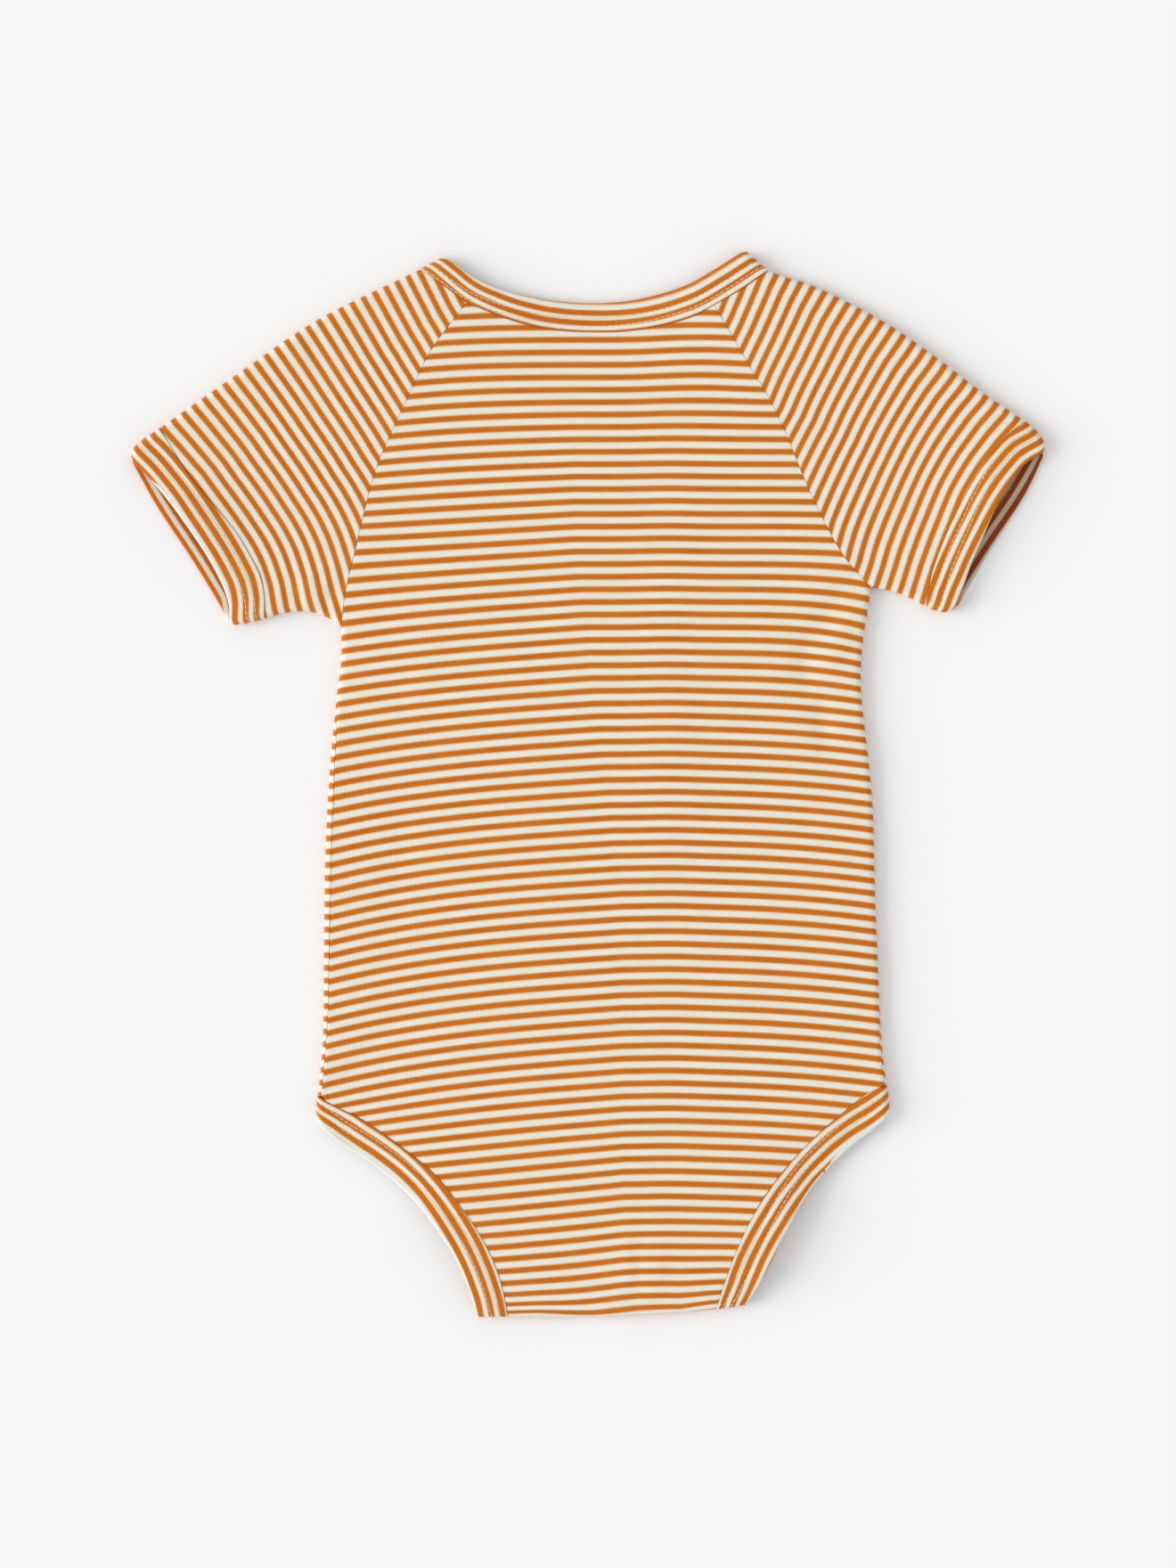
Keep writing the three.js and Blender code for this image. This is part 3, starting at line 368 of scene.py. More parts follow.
def tab_height(xy):
    """Outer face of the tab, which ramps up onto the snaps and comes down at its end."""
    up = crotch_fold.nearest(xy)[0]
    ramp = TAB_LIFT * ease((up - FOLD_RADIUS) / (HEM_FROM_FOLD - 1))
    return ramp - (TAB_LIFT - TAB_END_LIFT) * ease((up - 27) / (TAB_LENGTH - 27))


HEIGHTS = {"upper": upper_height, "lower": lower_height, "tab": tab_height}


def lay(layer, xy):
    return np.concatenate([xy, HEIGHTS[layer](xy)[..., None]], -1)


def round_fold(fold, length, turn):
    """Points round a fold. turn is the cloth's length from the fold's middle, above it where positive."""
    length, turn = np.broadcast_arrays(length, turn)
    inward = fold.into(length)
    arc = np.clip(turn, -QUARTER_TURN, QUARTER_TURN) / FOLD_RADIUS
    plan = fold.at(length) + inward * (FOLD_RADIUS * (1 - np.cos(arc)))[..., None]
    points = np.concatenate([plan, FOLD_RADIUS * (1 + np.sin(arc))[..., None]], -1)
    for layer, past in (("upper", turn > QUARTER_TURN), ("lower", turn < -QUARTER_TURN)):
        if past.any():
            reach = FOLD_RADIUS + np.abs(turn[past]) - QUARTER_TURN
            points[past] = lay(layer, fold.at(length[past]) + inward[past] * reach[:, None])
    return points


def width_shares(width, middle=96, steps=EDGE_STEPS):
    """Shares of a width with close steps at both ends."""
    ends = steps / width
    return np.r_[ends, np.linspace(ends[-1], 1 - ends[-1], middle + 1)[1:-1], 1 - ends[::-1]]


def seam_turn(lines, length):
    """The cloth from the middle of the side fold up to the side seam."""
    y = lines["side_fold"].at(length)[1]
    column = 1 if lines["side"] > 0 else 2
    row = max(1, next(i for i, place in enumerate(SIDE_SEAM) if place[0] <= y))
    above, below = SIDE_SEAM[row - 1], SIDE_SEAM[row]
    inset = mix(above[column], below[column], ease((above[0] - y) / (above[0] - below[0])))
    if inset > FOLD_RADIUS:
        return QUARTER_TURN + inset - FOLD_RADIUS
    return FOLD_RADIUS * math.acos(1 - inset / FOLD_RADIUS)


def side_columns(lines, layer, length):
    seam = seam_turn(lines, length)
    if layer == "upper":
        turns = seam + GAP + EDGE_STEPS
    else:
        reach = seam - GAP + QUARTER_TURN
        turns = seam - GAP - EDGE_STEPS * reach / EDGE_STEPS[-1]
    return round_fold(lines["side_fold"], length, turns), turns


def panel(layer):
    """A body panel from the neck to the crotch. Gives its points, and where each lies in the flat cloth."""
    neck = necks[layer]
    sides = [pattern["left"], pattern["right"]]
    raglan_name, leg_name = ("back_raglan", "back_leg") if layer == "upper" else ("front_raglan", "front_leg")
    raglans = [lines[raglan_name] for lines in sides]
    legs = [lines[leg_name] for lines in sides]
    rows, cloth = [], []
    chord = np.array([neck.at(0, GAP), neck.at(neck.length, GAP)])
    widest = np.hypot(*(neck.at(neck.length) - neck.at(0)))
    close = EDGE_STEPS[:7] / 140
    for down in np.r_[close, np.linspace(close[-1], 1 - 0.35 / 127.5, 62)[1:]]:
        left, right = (line.at(mix(GAP, line.length, down), GAP) for line in raglans)
        width = np.hypot(*(right - left))
        t = width_shares(width)[:, None]
        bend = neck.at(t[:, 0] * neck.length, GAP) - mix(chord[0], chord[1], t)
        xy = mix(left, right, t) + bend * (1 - down) ** 3 * width / max(width, widest)
        rows.append(lay(layer, xy))
        cloth.append(xy)
    for part in np.linspace(0, 1, 90):
        ends = [side_columns(lines, layer, mix(1.7, lines["hip_foot"] - 0.3, part)) for lines in sides]
        (left, left_turns), (right, right_turns) = ends
        t = np.linspace(0, 1, 97)[1:-1, None]
        middle = lay(layer, mix(left[-1, :2], right[-1, :2], t))
        row = np.vstack([left, middle, right[::-1]])
        flat = row[:, :2].copy()
        flat[:len(left), 0] = left[-1, 0] - np.abs(left_turns - left_turns[-1])
        flat[-len(right):, 0] = (right[-1, 0] + np.abs(right_turns - right_turns[-1]))[::-1]
        rows.append(row)
        cloth.append(flat)
    end = FOLD_RADIUS if layer == "upper" else 0
    last = np.linspace(0, 1, 50)
    if layer == "lower":
        last = np.r_[np.linspace(0, 0.975, 46), 1 - close[:6][::-1] * 2]
    for part in last:
        left, right = (line.at(mix(3, line.length - end, part), GAP) for line in legs)
        xy = mix(left, right, width_shares(np.hypot(*(right - left)))[:, None])
        rows.append(lay(layer, xy))
        cloth.append(xy)
    return rows, cloth


def round_crotch(across_above, across_fold, across_end):
    """Rows that turn round the crotch fold and run on along the tab. The places across them are given just
    above the fold, on it and at the tab's end."""
    ends = crotch_fold.points[[0, -1], 0]
    past = np.minimum(across_fold - ends[0], 0) + np.maximum(across_fold - ends[1], 0)
    foot = np.interp(across_fold, crotch_fold.points[:, 0], crotch_fold.runs) + past
    base = crotch_fold.at(foot)
    rows, cloth = [], []
    for turn in np.linspace(0.86, -1, 14) * QUARTER_TURN:
        row = round_fold(crotch_fold, foot, turn)
        if turn > 0:
            row[:, 0] = mix(across_fold, across_above, 1 - math.cos(turn / FOLD_RADIUS))
        rows.append(row)
        cloth.append(np.c_[row[:, 0], base[:, 1] + FOLD_RADIUS - QUARTER_TURN + turn])
    steps = np.r_[np.linspace(FOLD_RADIUS + 1.6, TAB_LENGTH - 2, 16), TAB_LENGTH - EDGE_STEPS[:6][::-1]]
    for distance in steps:
        x = mix(across_fold, across_end, distance / TAB_LENGTH)
        xy = np.c_[x, base[:, 1]] + crotch_fold.into(foot) * distance
        rows.append(lay("tab", xy))
        cloth.append(np.c_[xy[:, 0], base[:, 1] + 2 * FOLD_RADIUS - 2 * QUARTER_TURN - distance])
    return rows, cloth


def facing(points, ring, sign):
    """Unit normals of a grid of points. sign is the way of its first rows, up or down."""
    if ring:
        padded = np.concatenate([points[-1:], points, points[:1]])
        along = (padded[2:] - padded[:-2]) / 2
    else:
        along = np.gradient(points, axis=0)
    normal = np.cross(along, np.gradient(points, axis=1))
    normal /= np.maximum(np.linalg.norm(normal, axis=2), 1e-12)[..., None]
    return normal if normal[1:8, :, 2].mean() * sign > 0 else -normal


def cloth_piece(name, points, normal, knit, thick, ring=False, turn=0,
                rounds=(0.1, 0.1, 0.1, 0.1), edge=None, painted_shade=0.0):
    """A closed shell of cloth from the grid of its outer face, in millimetres. Its cut edges round over, by
    the rounds of its first and last row and column. knit counts wales and stripes, and turn is the wales
    once round a ring."""
    down = np.linalg.norm(np.diff(points, axis=0), axis=2)
    across = np.linalg.norm(np.diff(points, axis=1), axis=2)
    from_left = np.hstack([np.zeros((len(points), 1)), np.cumsum(across, 1)])
    from_top = np.vstack([np.zeros((1, points.shape[1])), np.cumsum(down, 0)])
    bounds = [from_left / rounds[2], (from_left[:, -1:] - from_left) / rounds[3]]
    if not ring:
        bounds += [from_top / rounds[0], (from_top[-1:] - from_top) / rounds[1]]
    half = np.prod([np.sqrt(1 - np.clip(1 - bound, 0, 1) ** 2) for bound in bounds], axis=0) * thick / 2
    # Painted shade: the cloth is darkened close to its sewn edges, where the seams' grooves lie.
    sewn = bounds if edge is None else bounds[:1] + bounds[2:]
    shade = np.exp(-(np.min(sewn, axis=0) * 0.8) ** 2)
    middle = points - normal * thick / 2
    count = half.size
    outer = np.arange(count).reshape(half.shape)
    rim = half < 1e-6
    inner = outer.copy()
    inner[~rim] = count + np.arange((~rim).sum())
    places = np.vstack([(middle + half[..., None] * normal).reshape(-1, 3),
                        (middle - half[..., None] * normal)[~rim]])
    shades = np.r_[shade.ravel(), shade[~rim]]
    # The inner faces carry painted shade of the given strength, the outer faces none.
    inner_shades = np.r_[np.zeros(count), np.full((~rim).sum(), painted_shade)]
    knits = np.vstack([knit.reshape(-1, 2), knit[~rim]])
    faces, corners = [], []
    for grid, flip in ((outer, False), (inner, True)):
        here = grid if ring else grid[:-1]
        below = np.roll(grid, -1, 0) if ring else grid[1:]
        quad = np.stack([here[:, :-1], below[:, :-1], below[:, 1:], here[:, 1:]], -1)
        spots = knits[quad]
        if ring:
            spots[-1, :, 1:3, 0] += turn
        if flip:
            quad, spots = quad[..., ::-1], spots[..., ::-1, :]
        faces.append(quad.reshape(-1, 4))
        corners.append(spots.reshape(-1, 2))
    faces, corners = np.vstack(faces), np.vstack(corners)
    a, b, c, d = (places[faces[:, k]] for k in range(4))
    volume = (np.cross(b - a, c - a) * a).sum() + (np.cross(c - a, d - a) * a).sum()
    if volume < 0:
        faces = faces[:, ::-1]
        corners = corners.reshape(-1, 4, 2)[:, ::-1].reshape(-1, 2)
    mesh = bpy.data.meshes.new(name)
    mesh.from_pydata((places * 0.001).tolist(), [], faces.tolist())
    mesh.uv_layers.new(name="knit").data.foreach_set("uv", corners.astype(np.float32).ravel())
    mesh.attributes.new("seam_shade", "FLOAT", "POINT").data.foreach_set("value", shades.astype(np.float32))
    mesh.attributes.new("painted_shade", "FLOAT", "POINT").data.foreach_set("value", inner_shades.astype(np.float32))
    if edge is not None:
        edges = np.r_[edge.ravel(), edge[~rim]]
        mesh.attributes.new("from_edge", "FLOAT", "POINT").data.foreach_set("value", edges.astype(np.float32))
    mesh.shade_smooth()
    piece = bpy.data.objects.new(name, mesh)
    bpy.context.collection.objects.link(piece)
    return piece


def maths(tree, operation, a, b=None, c=None, clamp=False):
    node = tree.nodes.new("ShaderNodeMath")
    node.operation = operation
    node.use_clamp = clamp
    for socket, value in zip(node.inputs, (a, b, c)):
        if value is None:
            continue
        if isinstance(value, (int, float)):
            socket.default_value = value
        else:
            tree.links.new(value, socket)
    return node.outputs[0]


def blend_colours(tree, factor, first, second):
    node = tree.nodes.new("ShaderNodeMix")
    node.data_type = "RGBA"
    tree.links.new(factor, node.inputs[0])
    for socket, value in ((node.inputs[6], first), (node.inputs[7], second)):
        if isinstance(value, tuple):
            socket.default_value = value
        else:
            tree.links.new(value, socket)
    return node.outputs[2]


def ramp(tree, value, low, high):
    """Nought up to low and one from high, smooth between them."""
    node = tree.nodes.new("ShaderNodeMapRange")
    node.interpolation_type = "SMOOTHSTEP"
    tree.links.new(value, node.inputs[0])
    node.inputs[1].default_value = low
    node.inputs[2].default_value = high
    return node.outputs[0]


def noise(tree, place, scale, detail=2):
    node = tree.nodes.new("ShaderNodeTexNoise")
    node.inputs["Scale"].default_value = scale
    node.inputs["Detail"].default_value = detail
    tree.links.new(place, node.inputs["Vector"])
    return node.outputs["Fac"]


ORANGE = (0.62, 0.16, 0.005, 1)
DEEP_ORANGE = (0.5, 0.106, 0.002, 1)
GOLDEN = (0.80, 0.49, 0.14, 1)
CREAM = (0.79, 0.79, 0.73, 1)
PALE_CREAM = (0.81, 0.815, 0.765, 1)
GROOVE_SHADE_CREAM = (0.67, 0.655, 0.56, 1)
SEAM_DARK = (0.16, 0.06, 0.015, 1)
THREAD_AND_DENT_SHADE = (0.46, 0.27, 0.08, 1)
SHADED_ORANGE = (0.22, 0.033, 0.004, 1)
SHADED_CREAM = (0.55, 0.42, 0.31, 1)
# Where the two needle rows of a binding are drawn in its from_edge attribute, and the length of a stitch
NEEDLES = (5.5, 8.6)
STITCH_PITCH = 2.2


def striped_jersey(name, orange_share, tooth, stripe_mm, sewn=False):
    """Yarn-dyed rib jersey. Orange and cream courses meet in the zigzag of the wales, and loops stand out."""
    material = bpy.data.materials.new(name)
    material.use_nodes = True
    tree = material.node_tree
    cloth = tree.nodes["Principled BSDF"]
    uv = tree.nodes.new("ShaderNodeUVMap")
    uv.uv_map = "knit"
    split = tree.nodes.new("ShaderNodeSeparateXYZ")
    tree.links.new(uv.outputs[0], split.inputs[0])
    wales, stripes = split.outputs[0], split.outputs[1]
    place = tree.nodes.new("ShaderNodeTexCoord").outputs["Object"]
    fuzz = noise(tree, place, 1900, 3)
    patches = noise(tree, place, 55, 3)
    uneven = maths(tree, "SUBTRACT", noise(tree, place, 420, 2), 0.5)

    # Wales, and the legs of the loops that lean together in each of them
    tooth_line = maths(tree, "MULTIPLY", maths(tree, "PINGPONG", wales, 0.5), 2)
    lean = maths(tree, "MULTIPLY", tooth_line, tooth)
    centre = maths(tree, "ABSOLUTE", maths(tree, "SUBTRACT", maths(tree, "FRACT",
                   maths(tree, "ADD", stripes, 0.5)), 0.5))
    frayed = maths(tree, "MULTIPLY_ADD", maths(tree, "SUBTRACT", fuzz, 0.5), 0.05,
                   maths(tree, "MULTIPLY", uneven, 0.03))
    edge = maths(tree, "ADD", maths(tree, "ADD", lean, orange_share / 2 - tooth / 2), frayed)
    over = maths(tree, "SUBTRACT", centre, edge)
    is_cream = ramp(tree, over, -0.012, 0.022)
    is_golden = maths(tree, "MULTIPLY", ramp(tree, over, -0.04, 0.01),
                      maths(tree, "SUBTRACT", 1, ramp(tree, over, 0.015, 0.11)))
    groove = maths(tree, "SUBTRACT", 1, ramp(tree, tooth_line, 0.0, 0.42))
    courses = maths(tree, "MULTIPLY", stripes, stripe_mm / 0.59)
    loops = maths(tree, "SINE", maths(tree, "MULTIPLY", maths(tree, "ADD", courses,
                  maths(tree, "MULTIPLY", tooth_line, 0.55)), 2 * math.pi))

    # Colours
    deeper = maths(tree, "MULTIPLY", ramp(tree, patches, 0.36, 0.66), 0.3)
    orange = blend_colours(tree, deeper, ORANGE, DEEP_ORANGE)
    # Painted shade in the grooves between wales: orange and cream are both darkened there.
    orange = blend_colours(tree, maths(tree, "MULTIPLY", groove, 0.45), orange, DEEP_ORANGE)
    cream = blend_colours(tree, ramp(tree, patches, 0.3, 0.75), CREAM, PALE_CREAM)
    cream = blend_colours(tree, maths(tree, "MULTIPLY", groove, 0.42), cream, GROOVE_SHADE_CREAM)
    # Painted shade on the inner faces within the sleeves' mouths: orange turns dark rust and cream brownish, and
    # no golden fringe shows.
    painted_shade = tree.nodes.new("ShaderNodeAttribute")
    painted_shade.attribute_name = "painted_shade"
    orange = blend_colours(tree, painted_shade.outputs["Fac"], orange, SHADED_ORANGE)
    cream = blend_colours(tree, painted_shade.outputs["Fac"], cream, SHADED_CREAM)
    is_golden = maths(tree, "MULTIPLY", is_golden, maths(tree, "SUBTRACT", 1, painted_shade.outputs["Fac"]))
    colour = blend_colours(tree, is_cream, orange, cream)
    colour = blend_colours(tree, maths(tree, "MULTIPLY", is_golden, 0.85), colour, GOLDEN)
    # Painted shade along seams and sewn edges.
    seam = tree.nodes.new("ShaderNodeAttribute")
    seam.attribute_name = "seam_shade"
    colour = blend_colours(tree, maths(tree, "MULTIPLY", seam.outputs["Fac"], 0.16), colour, SEAM_DARK)
    # Along each needle row, dashes of painted shade where the stitches pull the jersey into dents, tinted golden
    # like the thread.
    if sewn:
        edge_distance = tree.nodes.new("ShaderNodeAttribute")
        edge_distance.attribute_name = "from_edge"
        dash = maths(tree, "SINE", maths(tree, "MULTIPLY", wales, 2 * math.pi * WALE / STITCH_PITCH * 2))
        dash = ramp(tree, dash, -0.6, 0.9)
        for needle in NEEDLES:
            off = maths(tree, "ABSOLUTE", maths(tree, "SUBTRACT", edge_distance.outputs["Fac"], needle))
            line = maths(tree, "SUBTRACT", 1, ramp(tree, off, 0.05, 0.32))
            thread_and_dent_shade = maths(tree, "MULTIPLY", line, maths(tree, "MULTIPLY_ADD", dash, 0.5, 0.18))
            colour = blend_colours(tree, thread_and_dent_shade, colour, THREAD_AND_DENT_SHADE)
    tree.links.new(colour, cloth.inputs["Base Color"])

    # Relief: round wales, loops across them, and a little fuzz
    relief = maths(tree, "ADD", maths(tree, "SUBTRACT", 1, groove), maths(tree, "MULTIPLY", loops, 0.22))
    relief = maths(tree, "MULTIPLY_ADD", fuzz, 0.5, relief)
    bump = tree.nodes.new("ShaderNodeBump")
    bump.inputs["Strength"].default_value = 0.55
    bump.inputs["Distance"].default_value = 0.00016
    tree.links.new(relief, bump.inputs["Height"])
    tree.links.new(bump.outputs[0], cloth.inputs["Normal"])
    rough = maths(tree, "MULTIPLY_ADD", fuzz, 0.12, 0.82)
    tree.links.new(rough, cloth.inputs["Roughness"])
    cloth.inputs["Specular IOR Level"].default_value = 0.18
    cloth.inputs["Sheen Weight"].default_value = 0.12
    cloth.inputs["Sheen Roughness"].default_value = 0.5
    return material


# How far each stripe hangs below a straight line, left and right of the middle of the back: height on the
# garment, x where the left side starts to fall, its even and its steep share; then the right's two shares
LEFT_FALL = [(152, -5, 0.5, 9), (91, -5, 6.4, -1), (54, 0, 7, 3), (-41, 13, 6.1, 5.2), (-117, 13.5, 7.5, 4.5),
         (-164, 13.5, 11, -2.5), (-187, 13.5, 12.2, -9.8)]
RIGHT_FALL = [(152, 0, 0), (91, -0.6, 1.8), (54, -0.4, 6.3), (25, 3.4, 1.2), (-187, 4.6, 0)]


# How far the stripes run ahead of even spacing, down the garment
STRIPE_DRIFT = [(153, 0.2), (113, 0.75), (83, 1.0), (53, 0.9), (13, 0.5), (-27, 0.2), (-67, 0), (-107, -0.3),
                (-147, -0.15), (-184, 0.2)]


# How the stripes crowd together where the back rounds over into the crotch fold: x, how far those close above
# it have moved up, and how far the last few
CROTCH_CROWD = [(-34, 5.4, 0.6), (-24, 5.3, 0.5), (-18.5, 5, 0.4), (-13, 4.2, 0), (-8, 3.1, -0.3),
                (-2.5, 1.9, -0.5), (3, 0.6, -0.4), (13.5, 0, -0.2), (19, 0, 0.5), (29.5, 0.9, 0.3),
                (35, 1.3, 0.2), (40, 1.9, 1), (45.5, 2.5, 2), (50, 3, 2.6)]
CROWD_REACH = (3, 14)


def stripe_fall(x, y):
    rows = np.array(LEFT_FALL, float)[::-1]
    start, even, steep = (np.interp(y, rows[:, 0], rows[:, k]) for k in (1, 2, 3))
    u = np.clip((start - x) / 100, 0, 1.2)
    rows = np.array(RIGHT_FALL, float)[::-1]
    second, fourth = (np.interp(y, rows[:, 0], rows[:, k]) for k in (1, 2))
    v = np.clip((x - 30) / 77, 0, 1.2)
    fall = even * u + steep * u ** 3 + second * v ** 2 + fourth * v ** 4
    rows = np.array(STRIPE_DRIFT, float)[::-1]
    fall -= 0.3 * np.exp(-((x - 30) / 12) ** 2) + np.interp(y, rows[:, 0], rows[:, 1])
    return fall - 0.9 * np.exp(-((x - 45) / 16) ** 2 - ((y - 160) / 25) ** 2)


def body_knit(cloth, share=1.0, shift=0.0):
    x, y = cloth[..., 0], cloth[..., 1]
    fold = np.array(CROTCH_FOLD)
    up = np.maximum(y - np.interp(x, fold[:, 0], fold[:, 1]), 0)
    table = np.array(CROTCH_CROWD, float)
    close, far = (np.interp(x, table[:, 0], table[:, k]) for k in (1, 2))
    fall = stripe_fall(np.clip(x, -99, 111), y) * share + shift
    fall -= close * np.exp(-np.maximum(up, 1.6) / CROWD_REACH[0]) + far * np.exp(-up / CROWD_REACH[1])
    return np.stack([x / WALE, (FIRST_STRIPE - y - fall) / STRIPE], -1)


def dress(piece, node, material):
    piece.data.materials.append(material)
    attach(piece, "root")
    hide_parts(node)


body_jersey = striped_jersey("striped_rib_jersey", 0.45, 0.12, STRIPE)
rows, cloth = panel("upper")
width = rows[-1][-1, 0] - rows[-1][0, 0]
part = (rows[-1][:, 0] - rows[-1][0, 0]) / width
tab_places = [mix(TAB_SEAM["left"][k] + GAP, TAB_SEAM["right"][k] - GAP, part) for k in (0, 1)]
tab_rows, tab_cloth = round_crotch(rows[-1][:, 0], *tab_places)
back_points = np.array(rows + tab_rows)
back_normal = facing(back_points, False, 1)
back_knit = body_knit(np.array(cloth + tab_cloth))
back_panel = cloth_piece("back_panel_cloth", back_points, back_normal, back_knit, CLOTH)
dress(back_panel, "back_panel", body_jersey)


rows, cloth = panel("lower")
front_points = np.array(rows)
front_panel = cloth_piece("front_panel_cloth", front_points, facing(front_points, False, -1),
                          body_knit(np.array(cloth), 0.8, 1.9), CLOTH)
dress(front_panel, "front_panel", body_jersey)


# Sleeves. Each is one piece of jersey folded along the shoulder and closed under the arm. Its stripes run
# with the cuff, and the raglan seam cuts them off against the body's.
SLEEVE_END = 150
NECK_PART = 0.15
# How much shade is painted onto the inner faces of each sleeve and its cuff binding: much in the gaping right
# mouth, little in the left.
MOUTH_SHADE = {"left": 0.12, "right": 0.9}
FOLD_STEPS = FOLD_RADIUS * (1 - np.cos(np.radians([0, 13, 27, 42, 58, 74, 90])))
# The stripes follow a smooth line close to the cuff seam. Along it from shoulder to underarm: where an orange
# stripe lies in from it, and the pitch
STRIPE_GUIDE = {
    "left": [(-161, 135), (-143, 109), (-128, 86), (-119.5, 60)],
    "right": [(161, 139), (144, 112), (132, 84), (127, 64)],
}
SLEEVE_STRIPES = {
    "left": [(0.05, 0.7, 4.7), (0.15, 1.8, 4.6), (0.3, 3.2, 4.46), (0.45, 3.6, 4.41), (0.6, 3.8, 4.35),
             (0.75, 4.6, 4.38), (0.85, 4.7, 4.38), (0.95, 3.8, 4.5)],
    "right": [(0.05, 3.6, 4.78), (0.15, 4.8, 4.68), (0.3, 5.8, 4.5), (0.45, 6.3, 4.4), (0.6, 5.9, 4.5),
              (0.75, 6.0, 4.57), (0.85, 6.4, 4.5), (0.95, 7.1, 4.6)],
}


def sleeve_knit(side, xy):
    """Wales and stripes of a sleeve, from its distance to the guide line."""
    guide = PatternLine(STRIPE_GUIDE[side], pattern[side]["side"])
    _, run = guide.nearest(xy)
    inward = guide.into(run)
    away = xy - guide.at(run)
    along = np.stack([inward[..., 1], -inward[..., 0]], -1) * guide.side
    past = (run < 0.01) | (run > guide.length - 0.01)
    share = (run + np.where(past, (away * along).sum(-1), 0)) / guide.length
    table = np.array(SLEEVE_STRIPES[side])
    first, pitch = (np.interp(share, table[:, 0], table[:, k]) for k in (1, 2))
    way = guide.points[-1] - guide.points[0]
    wales = (xy * way).sum(-1) / np.hypot(*way) / WALE
    return np.stack([wales, ((away * inward).sum(-1) - first) / pitch], -1)


def sleeve_patch(side, layer, s, t):
    """The place on a sleeve, s along the cuff from the shoulder and t from the cuff to the body."""
    lines = pattern[side]
    part = "back" if layer == "upper" else "front"
    cuff, neck, raglan = (lines[f"{part}_{name}"] for name in ("cuff", "neck", "raglan"))
    shoulder_fold, underarm_fold = lines["shoulder_fold"], lines["underarm_fold"]

    def shoulder(t):
        return shoulder_fold.at(mix(lines["cuff_top_foot"] - GAP, lines["neck_foot"] + GAP, t))

    def underarm(t):
        return underarm_fold.at(mix(lines["cuff_under_foot"] + GAP, underarm_fold.length - GAP, t))

    def closed(s, ends, line):
        s = s[..., None]
        return np.where(s <= 0, shoulder(ends), np.where(s >= 1, underarm(ends), line))

    cuff_end = closed(s, 0, cuff.at(s * cuff.length, GAP))
    past = np.clip((s - NECK_PART) / (1 - NECK_PART), 0, 1)
    body_line = np.where((s < NECK_PART)[..., None],
                         neck.at(np.clip(s / NECK_PART, 0, 1) * neck.length, -GAP),
                         raglan.at(mix(GAP, raglan.length, past), -GAP))
    body_end = closed(s, 1, body_line)
    s, t_share = s[..., None], t[..., None]
    place = mix(cuff_end, body_end, t_share) + mix(shoulder(t), underarm(t), s)
    place -= mix(mix(shoulder(0), shoulder(1), t_share), mix(underarm(0), underarm(1), t_share), s)
    return place


def sleeve_grid(side):
    lines = pattern[side]
    stations = []
    inner_places = np.r_[np.linspace(0.034, NECK_PART, 9)[:-1], np.linspace(NECK_PART, 0.97, 58)]
    for layer in ("upper", "lower"):
        part = "back" if layer == "upper" else "front"
        cuff, raglan = lines[f"{part}_cuff"], lines[f"{part}_raglan"]
        grid = []
        for kind, value in ([("top", d) for d in FOLD_STEPS] + [("mid", p) for p in inner_places]
                            + [("under", d) for d in FOLD_STEPS[::-1]]):
            middle = {"top": 0.02, "mid": value, "under": 0.98}[kind]
            ends = sleeve_patch(side, layer, np.array([middle, middle]), np.array([0.0, 1.0]))
            reach = np.hypot(*(ends[1] - ends[0]))
            steps = EDGE_STEPS[:7] / reach
            t = np.r_[steps, np.linspace(steps[-1], 1 - steps[-1], 56)[1:-1], 1 - steps[::-1]]
            around = mix(cuff.length, SLEEVE_END, t)
            s = {"top": value / around, "mid": np.full(t.shape, value), "under": 1 - value / around}[kind]
            grid.append(sleeve_patch(side, layer, s, t))
        xy = np.array(grid)
        stations.append((lay(layer, xy), xy))
    (top, top_xy), (bottom, bottom_xy) = stations
    points = np.concatenate([top, bottom[::-1][1:-1]])
    knit = sleeve_knit(side, np.concatenate([top_xy, bottom_xy[::-1][1:-1]]))
    return points, knit


for side in ("left", "right"):
    points, knit = sleeve_grid(side)
    normal = facing(points, True, 1)
    if normal[30:40, :, 2].mean() < 0:
        normal = -normal
    sleeve = cloth_piece(f"sleeve_{side}_cloth", points, normal, knit, CLOTH, ring=True,
                         painted_shade=MOUTH_SHADE[side])
    dress(sleeve, f"sleeve_{side}", body_jersey)


# Neck binding. One ring of the same jersey folded over the neck edge, closed at the left shoulder and held by
# a twin row of stitches. It stands a little proud of the body, and its fold is round.
NECK_STRIPES = [(0, 0.6, 3.6, -1), (0.07, 1.1, 3.55, -1), (0.13, 1.85, 3.5, -1), (0.2, 2.1, 3.75, -1),
                (0.27, 2.8, 3.7, -1), (0.35, 3.25, 3.85, -1), (0.5, 3.45, 3.8, -1), (0.6, 3.85, 3.7, -1),
                (0.7, 4.25, 3.8, -1), (1, 4.4, 3.8, -1)]
NECK_NEEDLES = (5.8, 8.8)
BAND_NOSE = 0.4
CORNER = 0.7


def band_shares(width, count=34):
    """Shares of a binding's width from its seam to its free edge, close together at both ends."""
    near = EDGE_STEPS[:6]
    free = np.array([0, 0.04, 0.14, 0.32, 0.6, 1.0, 1.5])
    full = width + BAND_NOSE
    middle = np.linspace(near[-1], full - free[-1], count)[1:-1]
    return np.r_[near, middle, full - free[::-1]] / width


def corner_inset(from_corner):
    """How far a binding's free edge draws back near its corner at a fold, so that the corner is round."""
    return CORNER * np.maximum(0, 1 - from_corner / 3) ** 2


